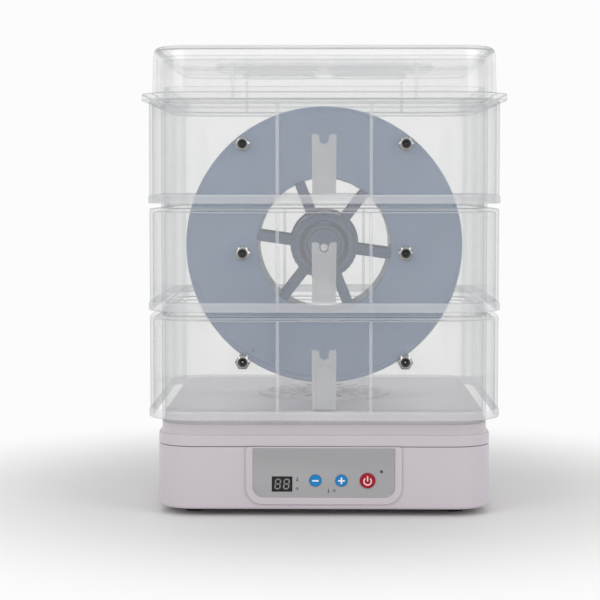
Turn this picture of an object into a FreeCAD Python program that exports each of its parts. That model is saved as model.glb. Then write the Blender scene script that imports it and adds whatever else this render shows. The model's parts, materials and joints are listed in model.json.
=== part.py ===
import FreeCAD, Part
import math
import os
import re

import Sketcher
from FreeCAD import Placement, Rotation, Vector

# Driving dimensions in millimetres and degrees. The box stands on Z = 0 and its front looks along -Y.
SIZES = {
    # the spool that the chamber is made for, and the room around it
    "spool_radius": 100,
    "spool_side_room": 12.7,
    "spool_height_room": 25,
    "spool_floor_gap": 13.4,
    # trays: one outline, and every other outline is that one moved inwards
    "tray_depth": 240,
    "tray_corner": 32,
    "tray_gap": 3.5,
    "outer_wall": 2.2,
    "inner_wall": 2,
    "inner_inset": 8.3,
    "spigot_height": 9.5,
    "spigot_clearance": 0.3,
    "tray_lip_height": 5,
    "tray_lip_proud": 0.8,
    "web_thick": 2.4,
    "web_place": 32.3,
    # posts that carry the axle
    "post_width": 17.2,
    "post_depth": 11,
    "post_foot_gap": 0.5,
    "post_rise": 3.6,
    "notch_flare": 1.3,
    "notch_mouth_depth": 1.6,
    "notch_clearance": 0.2,
    "axle_radius": 3,
    "axle_end_gap": 3.7,
    # outlets for the filament
    "outlet_place": 56,
    "outlet_height": 41,
    "outlet_barrel": 4.4,
    "outlet_head_step": 0.4,
    "outlet_head": 4,
    "outlet_reach": 6,
    "outlet_socket": 2.5,
    "outlet_socket_depth": 3,
    "outlet_stop": 0.3,
    "locknut_wall": 1.85,
    "locknut_thick": 4,
    # lid
    "lid_height": 37.5,
    "lid_inset": 2.4,
    "lid_edge": 7,
    "lid_deck_drop": 7.5,
    "lid_deck_thick": 2,
    "flange_proud": 5,
    "flange_thick": 4.8,
    "lid_web_place": 63,
    "pan_width": 156,
    "pan_depth": 68,
    "pan_drop": 3.5,
    "pan_corner": 9,
    "finger_width": 55,
    "finger_depth": 50,
    "finger_drop": 8,
    "finger_corner": 7,
    "finger_bar": 13,
    # base housing and its top cover
    "foot_height": 5,
    "foot_radius": 8,
    "foot_peg_radius": 2.5,
    "foot_peg_height": 4,
    "foot_side_inset": 31,
    "foot_front_inset": 34,
    "base_inset": 6,
    "base_height": 44.2,
    "base_wall": 2.6,
    "base_edge": 2.4,
    "floor_thick": 2.6,
    "band_height": 7.8,
    "band_edge": 2,
    "collar_height": 7.5,
    "deck_thick": 2.4,
    "deck_edge": 4,
    "cover_wall": 2.4,
    "cover_lip": 4,
    "cover_screw_x": 62,
    "cover_screw_inset": 26,
    "cover_boss_radius": 4,
    "screw_radius": 1.5,
    "screw_length": 18,
    "screw_head_radius": 2.8,
    "screw_head_height": 1.8,
    # fits shared by pegs, screws, snap-in pieces and shafts
    "slip_fit": 0.2,
    "running_fit": 0.05,
    # control panel
    "frame_border": 4.8,
    "frame_thick": 1.2,
    "overlay_width": 99.2,
    "overlay_rise": 8.6,
    "overlay_drop": 0.8,
    "overlay_thick": 0.8,
    "overlay_corner": 7.2,
    "key_radius": 4.1,
    "power_key_radius": 5.3,
    "key_proud": 0.9,
    "key_height": 25.6,
    "minus_place": -5.9,
    "plus_place": 12.2,
    "power_place": 30.4,
    "key_collar": 1.2,
    "key_collar_thick": 1,
    "key_travel": 0.6,
    "display_place": -29.1,
    "display_height": 17.9,
    "display_width": 14,
    "display_tall": 10.4,
    "display_sunk": 0.3,
    "light_place": 40.1,
    "light_height": 31.9,
    "light_radius": 0.85,
    "board_thick": 1.6,
    "board_stand": 7.4,
    "board_width": 96,
    "board_low": 11.5,
    "board_top_gap": 3.7,
    "board_screw_inset": 4,
    "boss_radius": 3,
    "small_screw": 1.2,
    "small_screw_head": 2.3,
    "small_screw_length": 8,
    "switch_side": 6,
    "switch_body": 3.2,
    "plunger_radius": 1.7,
    # power board
    "power_board_margin": 7.2,
    "power_board_length": 100,
    "power_board_stand": 5,
    "power_boss_inset": 4,
    "transformer_height": 20,
    "relay_length": 20,
    "relay_height": 14,
    "capacitor_radius": 6,
    "capacitor_height": 16,
    "terminal_width": 10,
    "terminal_length": 24,
    "terminal_height": 12,
    # fan
    "intake_step": 7,
    "vent_step": 6,
    "grille_overlap": 4,
    "grille_thick": 1.6,
    "slot_width": 3.2,
    "shroud_radius": 52,
    "shroud_wall": 2,
    "ledge_width": 5,
    "ledge_height": 6,
    "ledge_thick": 2,
    "bracket_thick": 2,
    "bracket_arm": 10,
    "bracket_rim": 2,
    "motor_radius": 19,
    "motor_boss_radius": 8,
    "motor_boss_height": 2,
    "shaft_radius": 2,
    "shaft_depth": 12,
    "shaft_end_gap": 1,
    "rotor_tip_gap": 5,
    "rotor_top_gap": 5,
    "rotor_hub_radius": 11,
    "rotor_hub_height": 10,
    "rotor_lift": 3,
    "blade_chord": 20,
    "blade_thick": 1.6,
    "blade_pitch": 35,
    # heater
    "heater_ring_width": 14,
    "heater_ring_thick": 2,
    "heater_gap": 3,
    "element_step": 8,
    "element_depth": 8,
    "element_height": 9,
    "element_pitch": 18,
    "fin_thick": 0.8,
    "fin_pitch": 5,
    "cutout_radius": 4.5,
    "cutout_height": 5,
    "sensor_radius": 2.5,
    "sensor_length": 8,
    "sensor_gap": 16,
    # mains cord gland
    "gland_place": 70,
    "gland_height": 17,
    "gland_radius": 6,
    "gland_flange": 8.5,
    "gland_flange_thick": 3,
    "gland_nose": 4,
    "gland_nut_thick": 4,
    "gland_bore": 3.2,
    # spool and its hub
    "spool_width": 70,
    "spool_front": -55,
    "spool_flange": 3.5,
    "window_radius": 48.5,
    "drum_wall": 3.5,
    "hub_bore": 20,
    "hub_wall": 4,
    "spoke_width": 7,
    "end_hole_radius": 2.2,
    "end_hole_inset": 6.5,
    "sleeve_radius": 11.6,
    "sleeve_flange_step": 2,
    "sleeve_flange_thick": 3,
    "nut_step": 0.3,
    "nut_thick": 8,
    "nut_spigot": 4,
    "knurl_radius": 1.1,
    "crescent_width": 2,
    "crescent_bridge": 14,
}
KEYS = (
    ("minus_key", "minus_place", "key_radius"),
    ("plus_key", "plus_place", "key_radius"),
    ("power_key", "power_place", "power_key_radius"),
)
TRAYS = ("bottom", "middle", "top")
SPOKES = 6
SPOKE_TURN = 8
END_HOLES = (-236, -246)
KNURLS = 36
BLADES = 7
VENT_SLOTS = 20
FINS_EACH_SIDE = 6
BRACKET_ARMS = 3
SLOT_SPANS = ((0.3, 0.6), (0.66, 0.94))
SIGNS = (-1, 1)

UPRIGHT = Rotation()
BACKWARD = Rotation(Vector(1, 0, 0), -90)

doc = FreeCAD.newDocument("filament_dryer_box")
sheet = doc.addObject("Spreadsheet::Sheet", "Sizes")
for row, (alias, value) in enumerate(SIZES.items(), 1):
    sheet.set(f"A{row}", alias)
    sheet.set(f"B{row}", str(value))
    sheet.setAlias(f"B{row}", alias)
doc.recompute()
subparts = []

# Sizes and levels that follow from the sheet, as expressions
TRAY_PITCH = f"((2 * spool_radius + spool_height_room) / {len(TRAYS)})"
TRAY_HEIGHT = f"({TRAY_PITCH} - tray_gap)"
SIDE = "(spool_radius + spool_side_room + inner_wall + inner_inset)"
FRONT = "(tray_depth / 2)"
FLOOR_TOP = "(foot_height + floor_thick)"
SEAM = "(foot_height + base_height)"
COLLAR_TOP = f"({SEAM} + band_height + collar_height)"
DECK_TOP = f"({COLLAR_TOP} + spigot_height)"
DECK_UNDER = f"({DECK_TOP} - deck_thick)"
LID_LOW = f"({COLLAR_TOP} + {len(TRAYS)} * {TRAY_PITCH})"
AXLE_LEVEL = f"({DECK_TOP} + spool_floor_gap + spool_radius)"
AXLE_HEIGHT = f"({AXLE_LEVEL} - {COLLAR_TOP} - tray_gap - {TRAY_PITCH})"
PANEL_FACE = f"({FRONT} - base_inset)"
PANEL_BACK = f"({PANEL_FACE} - base_wall)"
BOARD_FACE = f"({PANEL_BACK} - board_stand)"
BOARD_TALL = f"({SEAM} - board_top_gap - board_low)"
INNER_FACE = f"({FRONT} - inner_inset - inner_wall)"
SPIGOT_INSET = "(inner_inset + inner_wall + spigot_clearance)"
SHROUD_OUTER = "(shroud_radius + shroud_wall)"
SHROUD_TOP = f"({DECK_UNDER} - heater_gap - element_height - heater_ring_thick)"
HEATER_LOW = f"({SHROUD_TOP} + heater_ring_thick)"
LEDGE_TOP = f"({FLOOR_TOP} + ledge_height)"
MOTOR_LOW = f"({LEDGE_TOP} + bracket_thick)"
ROTOR_LOW = f"({SHROUD_TOP} - rotor_top_gap - rotor_hub_height)"
MOTOR_TOP = f"({ROTOR_LOW} - rotor_lift)"
ROTOR_RADIUS = "(shroud_radius - rotor_tip_gap)"
INTAKE_RADIUS = "(shroud_radius - intake_step)"
VENT_RADIUS = "(shroud_radius - vent_step)"
POWER_BOARD_WIDTH = f"({SIDE} - base_inset - base_wall - {SHROUD_OUTER} - 2 * power_board_margin)"
POWER_BOARD_PLACE = f"(-{SHROUD_OUTER} - power_board_margin - {POWER_BOARD_WIDTH} / 2)"
FOOT_PLACE = (f"({SIDE} - foot_side_inset)", f"({FRONT} - foot_front_inset)")
SCREW_PLACE = ("cover_screw_x", f"({FRONT} - cover_screw_inset)")
HUB_RADIUS = "(hub_bore + hub_wall)"


def tray_low(index):
    """Height of a tray's outer bottom edge."""
    return f"({COLLAR_TOP} + tray_gap + {index} * {TRAY_PITCH})"


def outline(inset):
    """Half width, half depth and corner radius of the tray outline moved inwards."""
    return f"{SIDE} - ({inset})", f"{FRONT} - ({inset})", f"tray_corner - ({inset})"


def bind(thing, path, expression):
    """Tie a property to the sheet: each word with an underscore in the expression is a cell."""
    thing.setExpression(path, re.sub(r"\b[a-z]+(?:_[a-z]+)+\b", r"Sizes.\g<0>", expression))


def place(thing, x="0", y="0", z="0", turn=UPRIGHT):
    """Turn a solid, and tie its place to the sheet."""
    thing.Placement = Placement(Vector(), turn)
    for axis, expression in zip("xyz", (x, y, z)):
        bind(thing, f"Placement.Base.{axis}", expression)
    return thing


def subpart(thing, label):
    """Give a finished piece its own name and keep it for export."""
    thing.Label = label
    subparts.append(thing)
    return thing


def box(width, depth, height, x, y, z):
    """A box centred on x and y, standing on z."""
    solid = doc.addObject("Part::Box", "Block")
    for name, expression in (("Length", width), ("Width", depth), ("Height", height)):
        bind(solid, name, expression)
    return place(solid, f"({x}) - ({width}) / 2", f"({y}) - ({depth}) / 2", z)


def rod(radius, length, x="0", y="0", z="0", turn=UPRIGHT):
    """A cylinder from a point, upright or running backwards along +Y."""
    solid = doc.addObject("Part::Cylinder", "Rod")
    bind(solid, "Radius", radius)
    bind(solid, "Height", length)
    return place(solid, x, y, z, turn)


def hexagon(across, length, x, y, z):
    """A hexagonal prism running backwards along +Y, across its flats."""
    solid = doc.addObject("Part::Prism", "Hexagon")
    solid.Polygon = 6
    bind(solid, "Circumradius", f"({across}) / sqrt(3)")
    bind(solid, "Height", length)
    return place(solid, x, y, z, BACKWARD)


def fused(solids):
    """One solid made of several."""
    whole = doc.addObject("Part::MultiFuse", "Fused")
    whole.Shapes = solids
    return whole


def cut(base, tools):
    """A solid with other solids taken out of it."""
    result = doc.addObject("Part::Cut", "Cut")
    result.Base = base
    result.Tool = fused(tools) if len(tools) > 1 else tools[0]
    return result


def grouped(solids):
    """Separate solids that share one name."""
    group = doc.addObject("Part::Compound", "Group")
    group.Links = solids
    return group


def tube(outer, inner, length, x="0", y="0", z="0", turn=UPRIGHT):
    """A cylinder with a bore along its whole length."""
    return cut(rod(outer, length, x, y, z, turn), [rod(inner, length, x, y, z, turn)])


def origin_feature(body, role):
    """One of the body's own origin planes or axes."""
    return next(feature for feature in body.Origin.OriginFeatures if feature.Role == role)


def sketch_on(body, plane, level, x="0", y="0"):
    """An empty sketch parallel to a plane of the body, moved along its normal to a level."""
    sketch = body.newObject("Sketcher::SketchObject", f"{body.Name}_sketch")
    sketch.AttachmentSupport = [(origin_feature(body, plane), "")]
    sketch.MapMode = "FlatFace"
    for axis, expression in zip("xyz", (x, y, level)):
        bind(sketch, f"AttachmentOffset.Base.{axis}", expression)
    return sketch


def measure(sketch, constraint, expression):
    """Add a dimension to a sketch and tie it to the sheet."""
    index = sketch.addConstraint(constraint)
    bind(sketch, f"Constraints[{index}]", expression)


def draw_circle(sketch, radius):
    """A circle about the sketch's origin."""
    start = 20
    circle = sketch.addGeometry(Part.Circle(Vector(), Vector(0, 0, 1), start))
    sketch.addConstraint(Sketcher.Constraint("Coincident", circle, 3, -1, 1))
    measure(sketch, Sketcher.Constraint("Radius", circle, start), radius)


def straight(sketch, points):
    """Lines through points in turn, back to the first."""
    ends = points[1:] + points[:1]
    return [sketch.addGeometry(Part.LineSegment(*pair)) for pair in zip(points, ends)]


def measure_sides(sketch, lines, half_x, low, high, start):
    """Set the top, left, bottom and right lines of an upright outline about the origin."""
    top, left, bottom, right = lines
    for line in (top, bottom):
        sketch.addConstraint(Sketcher.Constraint("Horizontal", line))
    for line in (left, right):
        sketch.addConstraint(Sketcher.Constraint("Vertical", line))
    measure(sketch, Sketcher.Constraint("DistanceX", -1, 1, right, 1, start), half_x)
    measure(sketch, Sketcher.Constraint("DistanceX", left, 1, -1, 1, start), half_x)
    measure(sketch, Sketcher.Constraint("DistanceY", -1, 1, top, 1, start), high)
    measure(sketch, Sketcher.Constraint("DistanceY", bottom, 1, -1, 1, start), low)


def draw_rectangle(sketch, half_x, half_y):
    """A rectangle about the sketch's origin."""
    start = 20
    corners = [Vector(sx * start, sy * start, 0) for sx, sy in ((1, 1), (-1, 1), (-1, -1), (1, -1))]
    lines = straight(sketch, corners)
    for index, line in enumerate(lines):
        follower = lines[(index + 1) % len(lines)]
        sketch.addConstraint(Sketcher.Constraint("Coincident", line, 2, follower, 1))
    measure_sides(sketch, lines, half_x, half_y, half_y, start)


def corner_arc(sketch, x, y, radius, quarter):
    """A quarter circle that starts at a number of quarter turns."""
    circle = Part.Circle(Vector(x, y, 0), Vector(0, 0, 1), radius)
    first = quarter * math.pi / 2
    return sketch.addGeometry(Part.ArcOfCircle(circle, first, first + math.pi / 2))


def draw_rounded(sketch, half_x, half_y, corner):
    """A rounded rectangle about the sketch's origin."""
    start = 60
    radius = 15
    centre = start - radius
    signs = ((1, 1), (-1, 1), (-1, -1), (1, -1))
    arcs = [corner_arc(sketch, sx * centre, sy * centre, radius, turn) for turn, (sx, sy) in enumerate(signs)]
    lines = []
    for index, arc in enumerate(arcs):
        follower = arcs[(index + 1) % len(arcs)]
        first = sketch.Geometry[arc].EndPoint
        last = sketch.Geometry[follower].StartPoint
        line = sketch.addGeometry(Part.LineSegment(first, last))
        sketch.addConstraint(Sketcher.Constraint("Tangent", arc, 2, line, 1))
        sketch.addConstraint(Sketcher.Constraint("Tangent", line, 2, follower, 1))
        lines.append(line)
    for arc in arcs[1:]:
        sketch.addConstraint(Sketcher.Constraint("Equal", arcs[0], arc))
    measure(sketch, Sketcher.Constraint("Radius", arcs[0], radius), corner)
    measure_sides(sketch, lines, half_x, half_y, half_y, start)


def draw_shield(sketch, half_x, half_y, corner):
    """A rectangle about the sketch's origin with only its two lower corners rounded."""
    start = 60
    radius = 15
    centre = start - radius
    left_arc = corner_arc(sketch, -centre, -centre, radius, 2)
    right_arc = corner_arc(sketch, centre, -centre, radius, 3)
    top = sketch.addGeometry(Part.LineSegment(Vector(start, start, 0), Vector(-start, start, 0)))
    left = sketch.addGeometry(Part.LineSegment(Vector(-start, start, 0), Vector(-start, -centre, 0)))
    bottom = sketch.addGeometry(Part.LineSegment(Vector(-centre, -start, 0), Vector(centre, -start, 0)))
    right = sketch.addGeometry(Part.LineSegment(Vector(start, -centre, 0), Vector(start, start, 0)))
    sketch.addConstraint(Sketcher.Constraint("Coincident", top, 2, left, 1))
    sketch.addConstraint(Sketcher.Constraint("Coincident", right, 2, top, 1))
    chain = (left, left_arc, bottom, right_arc, right)
    for first, follower in zip(chain, chain[1:]):
        sketch.addConstraint(Sketcher.Constraint("Tangent", first, 2, follower, 1))
    sketch.addConstraint(Sketcher.Constraint("Equal", left_arc, right_arc))
    measure(sketch, Sketcher.Constraint("Radius", left_arc, radius), corner)
    measure_sides(sketch, (top, left, bottom, right), half_x, half_y, half_y, start)


def pad(body, sketch, length):
    """Raise a sketch along its normal."""
    feature = body.newObject("PartDesign::Pad", "Pad")
    feature.Profile = sketch
    bind(feature, "Length", length)
    return feature


def pocket(body, sketch, length):
    """Cut a sketch out along its normal."""
    feature = body.newObject("PartDesign::Pocket", "Pocket")
    feature.Profile = sketch
    feature.Reversed = True
    bind(feature, "Length", length)
    return feature


def layer(body, build, shape, low, height, x="0", y="0"):
    """Add or cut an upright layer with a rounded outline."""
    sketch = sketch_on(body, "XY_Plane", low, x, y)
    draw_rounded(sketch, *shape)
    return build(body, sketch, height)


def ring_layer(body, build, outer, inner, low, height):
    """Add or cut an upright layer between two rounded outlines."""
    sketch = sketch_on(body, "XY_Plane", low)
    draw_rounded(sketch, *outer)
    draw_rounded(sketch, *inner)
    return build(body, sketch, height)


def round_off(body, feature, radius, level="ZMax"):
    """Round the edges that lie at the top or bottom level of a feature."""
    doc.recompute()
    height = getattr(feature.Shape.BoundBox, level)
    tolerance = 0.001
    names = []
    for number, edge in enumerate(feature.Shape.Edges, 1):
        bounds = edge.BoundBox
        if max(abs(bounds.ZMin - height), abs(bounds.ZMax - height)) < tolerance:
            names.append(f"Edge{number}")
    fillet = body.newObject("PartDesign::Fillet", "Rounding")
    fillet.Base = (feature, names)
    bind(fillet, "Radius", radius)


def polar_copies(body, feature, count):
    """Repeat a feature evenly about the body's Z axis."""
    pattern = body.newObject("PartDesign::PolarPattern", "Around")
    pattern.Originals = [feature]
    pattern.Axis = (origin_feature(body, "Z_Axis"), [""])
    pattern.Angle = 360
    pattern.Occurrences = count
    body.Tip = pattern


def new_body(name):
    """An empty body."""
    return doc.addObject("PartDesign::Body", name)


def four_corners(x, y):
    """The four places at plus and minus x and y."""
    return [(f"{sx} * {x}", f"{sy} * {y}") for sx in SIGNS for sy in SIGNS]


def make_base_body():
    """The lower housing: a tub with openings for the panel, fan intake, feet, screws and gland."""
    body = new_body("base_tub")
    block = layer(body, pad, outline("base_inset"), "foot_height", "base_height")
    round_off(body, block, "base_edge", "ZMin")
    layer(body, pocket, outline("base_inset + base_wall"), FLOOR_TOP, "base_height - floor_thick")
    openings = panel_openings(f"-{PANEL_FACE}", "base_wall", "slip_fit")
    openings.append(rod(INTAKE_RADIUS, "floor_thick", z="foot_height"))
    for x, y in four_corners(*FOOT_PLACE):
        openings.append(rod("foot_peg_radius + slip_fit", "floor_thick", x, y, "foot_height"))
    for x, y in four_corners(*SCREW_PLACE):
        openings.append(rod("screw_radius + slip_fit", "floor_thick", x, y, "foot_height"))
    gland = ("gland_radius + slip_fit", "base_wall", "gland_place", PANEL_BACK)
    openings.append(rod(*gland, f"{FLOOR_TOP} + gland_height", BACKWARD))
    bosses = []
    for x, z in board_screw_places():
        openings.append(rod("small_screw + slip_fit", "board_stand", x, f"-{PANEL_BACK}", z, BACKWARD))
        root = f"-{PANEL_BACK} - base_wall / 2"
        bosses.append(rod("boss_radius", "board_stand + base_wall / 2", x, root, z, BACKWARD))
    root = f"{FLOOR_TOP} - floor_thick / 2"
    for x, y in power_boss_places():
        bosses.append(rod("boss_radius", "power_board_stand + floor_thick / 2", x, y, root))
    subpart(cut(fused([body] + bosses), openings), "base_body")


def panel_openings(face, depth, clearance):
    """Tools that cut the key, display and indicator openings backwards from a face."""
    tools = []
    for _, x, radius in KEYS:
        tools.append(rod(f"{radius} + {clearance}", depth, x, face, "key_height", BACKWARD))
    tools.append(rod(f"light_radius + {clearance}", depth, "light_place", face, "light_height", BACKWARD))
    width = f"display_width + 2 * {clearance}"
    tall = f"display_tall + 2 * {clearance}"
    low = f"display_height - {clearance}"
    tools.append(box(width, depth, tall, "display_place", f"{face} + ({depth}) / 2", low))
    return tools


def board_screw_places():
    """The x and z of the control board's screws."""
    high = f"(board_low + {BOARD_TALL} - board_screw_inset)"
    low = "(board_low + board_screw_inset)"
    return [(f"{side} * (board_width / 2 - board_screw_inset)", z) for side in SIGNS for z in (low, high)]


def power_boss_places():
    """The x and y of the bosses under the power board."""
    half_width = f"({POWER_BOARD_WIDTH} / 2 - power_boss_inset)"
    places = four_corners(half_width, "(power_board_length / 2 - power_boss_inset)")
    return [(f"{POWER_BOARD_PLACE} + {x}", y) for x, y in places]


def make_base_cover():
    """The top cover: band, collar for the bottom tray, spigot, deck with vent, and screw bosses."""
    body = new_body("base_cover")
    band = layer(body, pad, outline("base_inset"), SEAM, "band_height")
    round_off(body, band, "band_edge")
    layer(body, pad, outline("inner_inset"), f"{SEAM} + band_height / 2", "band_height / 2 + collar_height")
    spigot_low = f"{COLLAR_TOP} - collar_height"
    spigot = layer(body, pad, outline(SPIGOT_INSET), spigot_low, "collar_height + spigot_height")
    round_off(body, spigot, "deck_edge")
    lip_inset = "base_inset + base_wall + slip_fit"
    inside = outline(f"{lip_inset} + cover_wall")
    ring_layer(body, pad, outline(lip_inset), inside, f"{SEAM} - cover_lip", "cover_lip + band_height / 2")
    layer(body, pocket, inside, SEAM, "band_height - cover_wall")
    room = f"{DECK_UNDER} - {SEAM}"
    layer(body, pocket, outline(f"{SPIGOT_INSET} + cover_wall"), SEAM, room)
    bosses = []
    openings = [rod(VENT_RADIUS, "deck_thick", z=DECK_UNDER)]
    boss_height = f"{DECK_UNDER} - {FLOOR_TOP} + deck_thick / 2"
    for x, y in four_corners(*SCREW_PLACE):
        bosses.append(rod("cover_boss_radius", boss_height, x, y, FLOOR_TOP))
        openings.append(rod("screw_radius + slip_fit", "screw_length", x, y, FLOOR_TOP))
    subpart(cut(fused([body] + bosses), openings), "base_top_cover")


def make_base_hardware():
    """Rubber feet and the screws that hold the cover from below."""
    feet = []
    for x, y in four_corners(*FOOT_PLACE):
        pad_rod = rod("foot_radius", "foot_height", x, y)
        peg = rod("foot_peg_radius", "foot_height + foot_peg_height", x, y)
        feet.append(fused([pad_rod, peg]))
    subpart(grouped(feet), "rubber_feet")
    screws = []
    for x, y in four_corners(*SCREW_PLACE):
        head = rod("screw_head_radius", "screw_head_height", x, y, "foot_height - screw_head_height")
        shank = rod("screw_radius", "screw_length", x, y, "foot_height")
        screws.append(fused([head, shank]))
    subpart(grouped(screws), "cover_screws")


def make_gland():
    """The bush in the rear wall that the mains cord passes through, and its nut."""
    z = f"{FLOOR_TOP} + gland_height"
    rear = PANEL_FACE
    flange = rod("gland_flange", "gland_flange_thick", "gland_place", rear, z, BACKWARD)
    inside = f"{PANEL_BACK} - gland_nut_thick"
    reach = "gland_nut_thick + base_wall + gland_flange_thick + gland_nose"
    barrel = rod("gland_radius", reach, "gland_place", inside, z, BACKWARD)
    bore = rod("gland_bore", reach, "gland_place", inside, z, BACKWARD)
    subpart(cut(fused([flange, barrel]), [bore]), "cord_gland")
    nut = hexagon("2 * gland_flange", "gland_nut_thick", "gland_place", inside, z)
    hole = rod("gland_radius + running_fit", "gland_nut_thick", "gland_place", inside, z, BACKWARD)
    subpart(cut(nut, [hole]), "gland_nut")


def shield_plate(drop, rise, width, corner):
    """A panel outline from a drop below the seam to a rise above the housing's bottom."""
    half_y = f"(base_height - {drop} - {rise}) / 2"
    middle = f"{SEAM} - {drop} - {half_y}"
    return middle, (f"{width} / 2", half_y, corner)


def make_panel():
    """The raised frame on the front wall and the overlay that fills it."""
    body = new_body("frame_plate")
    width = "(overlay_width + 2 * frame_border)"
    rise = "(overlay_rise - frame_border)"
    middle, shape = shield_plate("0", rise, width, "overlay_corner + frame_border")
    sketch = sketch_on(body, "XZ_Plane", PANEL_FACE, y=middle)
    draw_shield(sketch, *shape)
    pad(body, sketch, "frame_thick")
    middle, shape = shield_plate("overlay_drop", "overlay_rise", "overlay_width", "overlay_corner")
    window = sketch_on(body, "XZ_Plane", PANEL_FACE, y=middle)
    draw_shield(window, *shape)
    pocket(body, window, "frame_thick")
    subpart(body, "panel_frame")
    plate = new_body("overlay_plate")
    fill = sketch_on(plate, "XZ_Plane", PANEL_FACE, y=middle)
    draw_shield(fill, f"{shape[0]} - slip_fit", f"{shape[1]} - slip_fit", f"{shape[2]} - slip_fit")
    pad(plate, fill, "overlay_thick")
    face = f"-{PANEL_FACE} - overlay_thick"
    subpart(cut(plate, panel_openings(face, "overlay_thick", "slip_fit")), "panel_overlay")


def make_keys():
    """Three push keys, each kept in the housing by a collar behind the wall."""
    front = f"-{PANEL_FACE} - overlay_thick - key_proud"
    collar_front = f"-{PANEL_BACK} + slip_fit"
    for label, x, radius in KEYS:
        reach = "key_proud + overlay_thick + base_wall + slip_fit + key_collar_thick"
        cap = rod(radius, reach, x, front, "key_height", BACKWARD)
        collar = rod(f"{radius} + key_collar", "key_collar_thick", x, collar_front, "key_height", BACKWARD)
        subpart(fused([cap, collar]), label)


def make_panel_electronics():
    """The control board with its display, indicator, switches and screws."""
    board_middle = f"-{BOARD_FACE} + board_thick / 2"
    board = box("board_width", "board_thick", BOARD_TALL, "0", board_middle, "board_low")
    holes = []
    screws = []
    back = f"-{BOARD_FACE} + board_thick"
    for x, z in board_screw_places():
        hole = rod("small_screw + slip_fit", "board_thick", x, f"-{BOARD_FACE}", z, BACKWARD)
        holes.append(hole)
        shank = rod("small_screw", "small_screw_length", x, f"{back} - small_screw_length", z, BACKWARD)
        head = rod("small_screw_head", "small_screw_head / 2", x, back, z, BACKWARD)
        screws.append(fused([shank, head]))
    subpart(cut(board, holes), "control_board")
    subpart(grouped(screws), "board_screws")
    front = f"{PANEL_FACE} + overlay_thick"
    depth = f"{front} - display_sunk - {BOARD_FACE}"
    display_middle = f"-{BOARD_FACE} - ({depth}) / 2"
    display = box("display_width", depth, "display_tall", "display_place", display_middle, "display_height")
    subpart(display, "display_module")
    lens = ("light_radius", f"{front} - {BOARD_FACE}")
    subpart(rod(*lens, "light_place", f"-({front})", "light_height", BACKWARD), "indicator_light")
    make_switches()


def make_switches():
    """A tact switch on the board behind each key, just out of reach of the key at its full travel."""
    switches = []
    front = f"-{BOARD_FACE} - switch_body"
    plunger = "(board_stand - switch_body - key_collar_thick - key_travel - 2 * slip_fit)"
    low = "key_height - switch_side / 2"
    for _, x, _ in KEYS:
        case = box("switch_side", "switch_body", "switch_side", x, f"{front} + switch_body / 2", low)
        stem_length = f"{plunger} + switch_body / 2"
        stem = rod("plunger_radius", stem_length, x, f"{front} - {plunger}", "key_height", BACKWARD)
        switches.append(fused([case, stem]))
    subpart(grouped(switches), "tact_switches")


def make_power_board():
    """The mains board on its bosses and the components standing on it."""
    z = f"{FLOOR_TOP} + power_board_stand"
    board = box(POWER_BOARD_WIDTH, "power_board_length", "board_thick", POWER_BOARD_PLACE, "0", z)
    subpart(board, "power_board")
    top = f"{z} + board_thick"
    quarter = "power_board_length / 4"
    inner = f"{POWER_BOARD_PLACE} + {POWER_BOARD_WIDTH} / 5"
    outer = f"{POWER_BOARD_PLACE} - {POWER_BOARD_WIDTH} / 5"
    parts = [
        box(f"{POWER_BOARD_WIDTH} / 2", quarter, "transformer_height", outer, f"-{quarter}", top),
        box(f"{POWER_BOARD_WIDTH} / 3", "relay_length", "relay_height", inner, quarter, top),
        rod("capacitor_radius", "capacitor_height", outer, quarter, top),
        box("terminal_width", "terminal_length", "terminal_height", inner, f"-{quarter}", top),
    ]
    subpart(grouped(parts), "power_board_parts")


def make_fan():
    """Intake grille, shroud with its ledge, motor on an armed bracket, shaft and rotor."""
    make_grille("intake_grille", INTAKE_RADIUS, FLOOR_TOP)
    wall = tube(SHROUD_OUTER, "shroud_radius", f"{SHROUD_TOP} - {FLOOR_TOP}", z=FLOOR_TOP)
    ledge_low = f"{LEDGE_TOP} - ledge_thick"
    ledge = tube("shroud_radius + shroud_wall / 2", "shroud_radius - ledge_width", "ledge_thick", z=ledge_low)
    subpart(fused([wall, ledge]), "fan_shroud")
    make_bracket()
    can = rod("motor_radius", f"{MOTOR_TOP} - motor_boss_height - {MOTOR_LOW}", z=MOTOR_LOW)
    nose = rod("motor_boss_radius", f"{MOTOR_TOP} - {MOTOR_LOW}", z=MOTOR_LOW)
    well = rod("shaft_radius + running_fit", "shaft_depth", z=f"{MOTOR_TOP} - shaft_depth")
    subpart(cut(fused([can, nose]), [well]), "fan_motor")
    shaft_low = f"({MOTOR_TOP} - shaft_depth + shaft_end_gap)"
    shaft = rod("shaft_radius", f"{ROTOR_LOW} + rotor_hub_height - {shaft_low}", z=shaft_low)
    subpart(shaft, "motor_shaft")
    make_rotor()


def make_bracket():
    """The motor's plate, with arms that lie on the shroud's ledge."""
    body = new_body("bracket")
    sketch = sketch_on(body, "XY_Plane", LEDGE_TOP)
    draw_circle(sketch, "motor_radius + bracket_rim")
    pad(body, sketch, "bracket_thick")
    root = "motor_radius / 2"
    tip = "(shroud_radius - ledge_width / 4)"
    arm = sketch_on(body, "XY_Plane", LEDGE_TOP, x=f"({tip} + {root}) / 2")
    draw_rectangle(arm, f"({tip} - {root}) / 2", "bracket_arm / 2")
    polar_copies(body, pad(body, arm, "bracket_thick"), BRACKET_ARMS)
    subpart(body, "motor_bracket")


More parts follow.
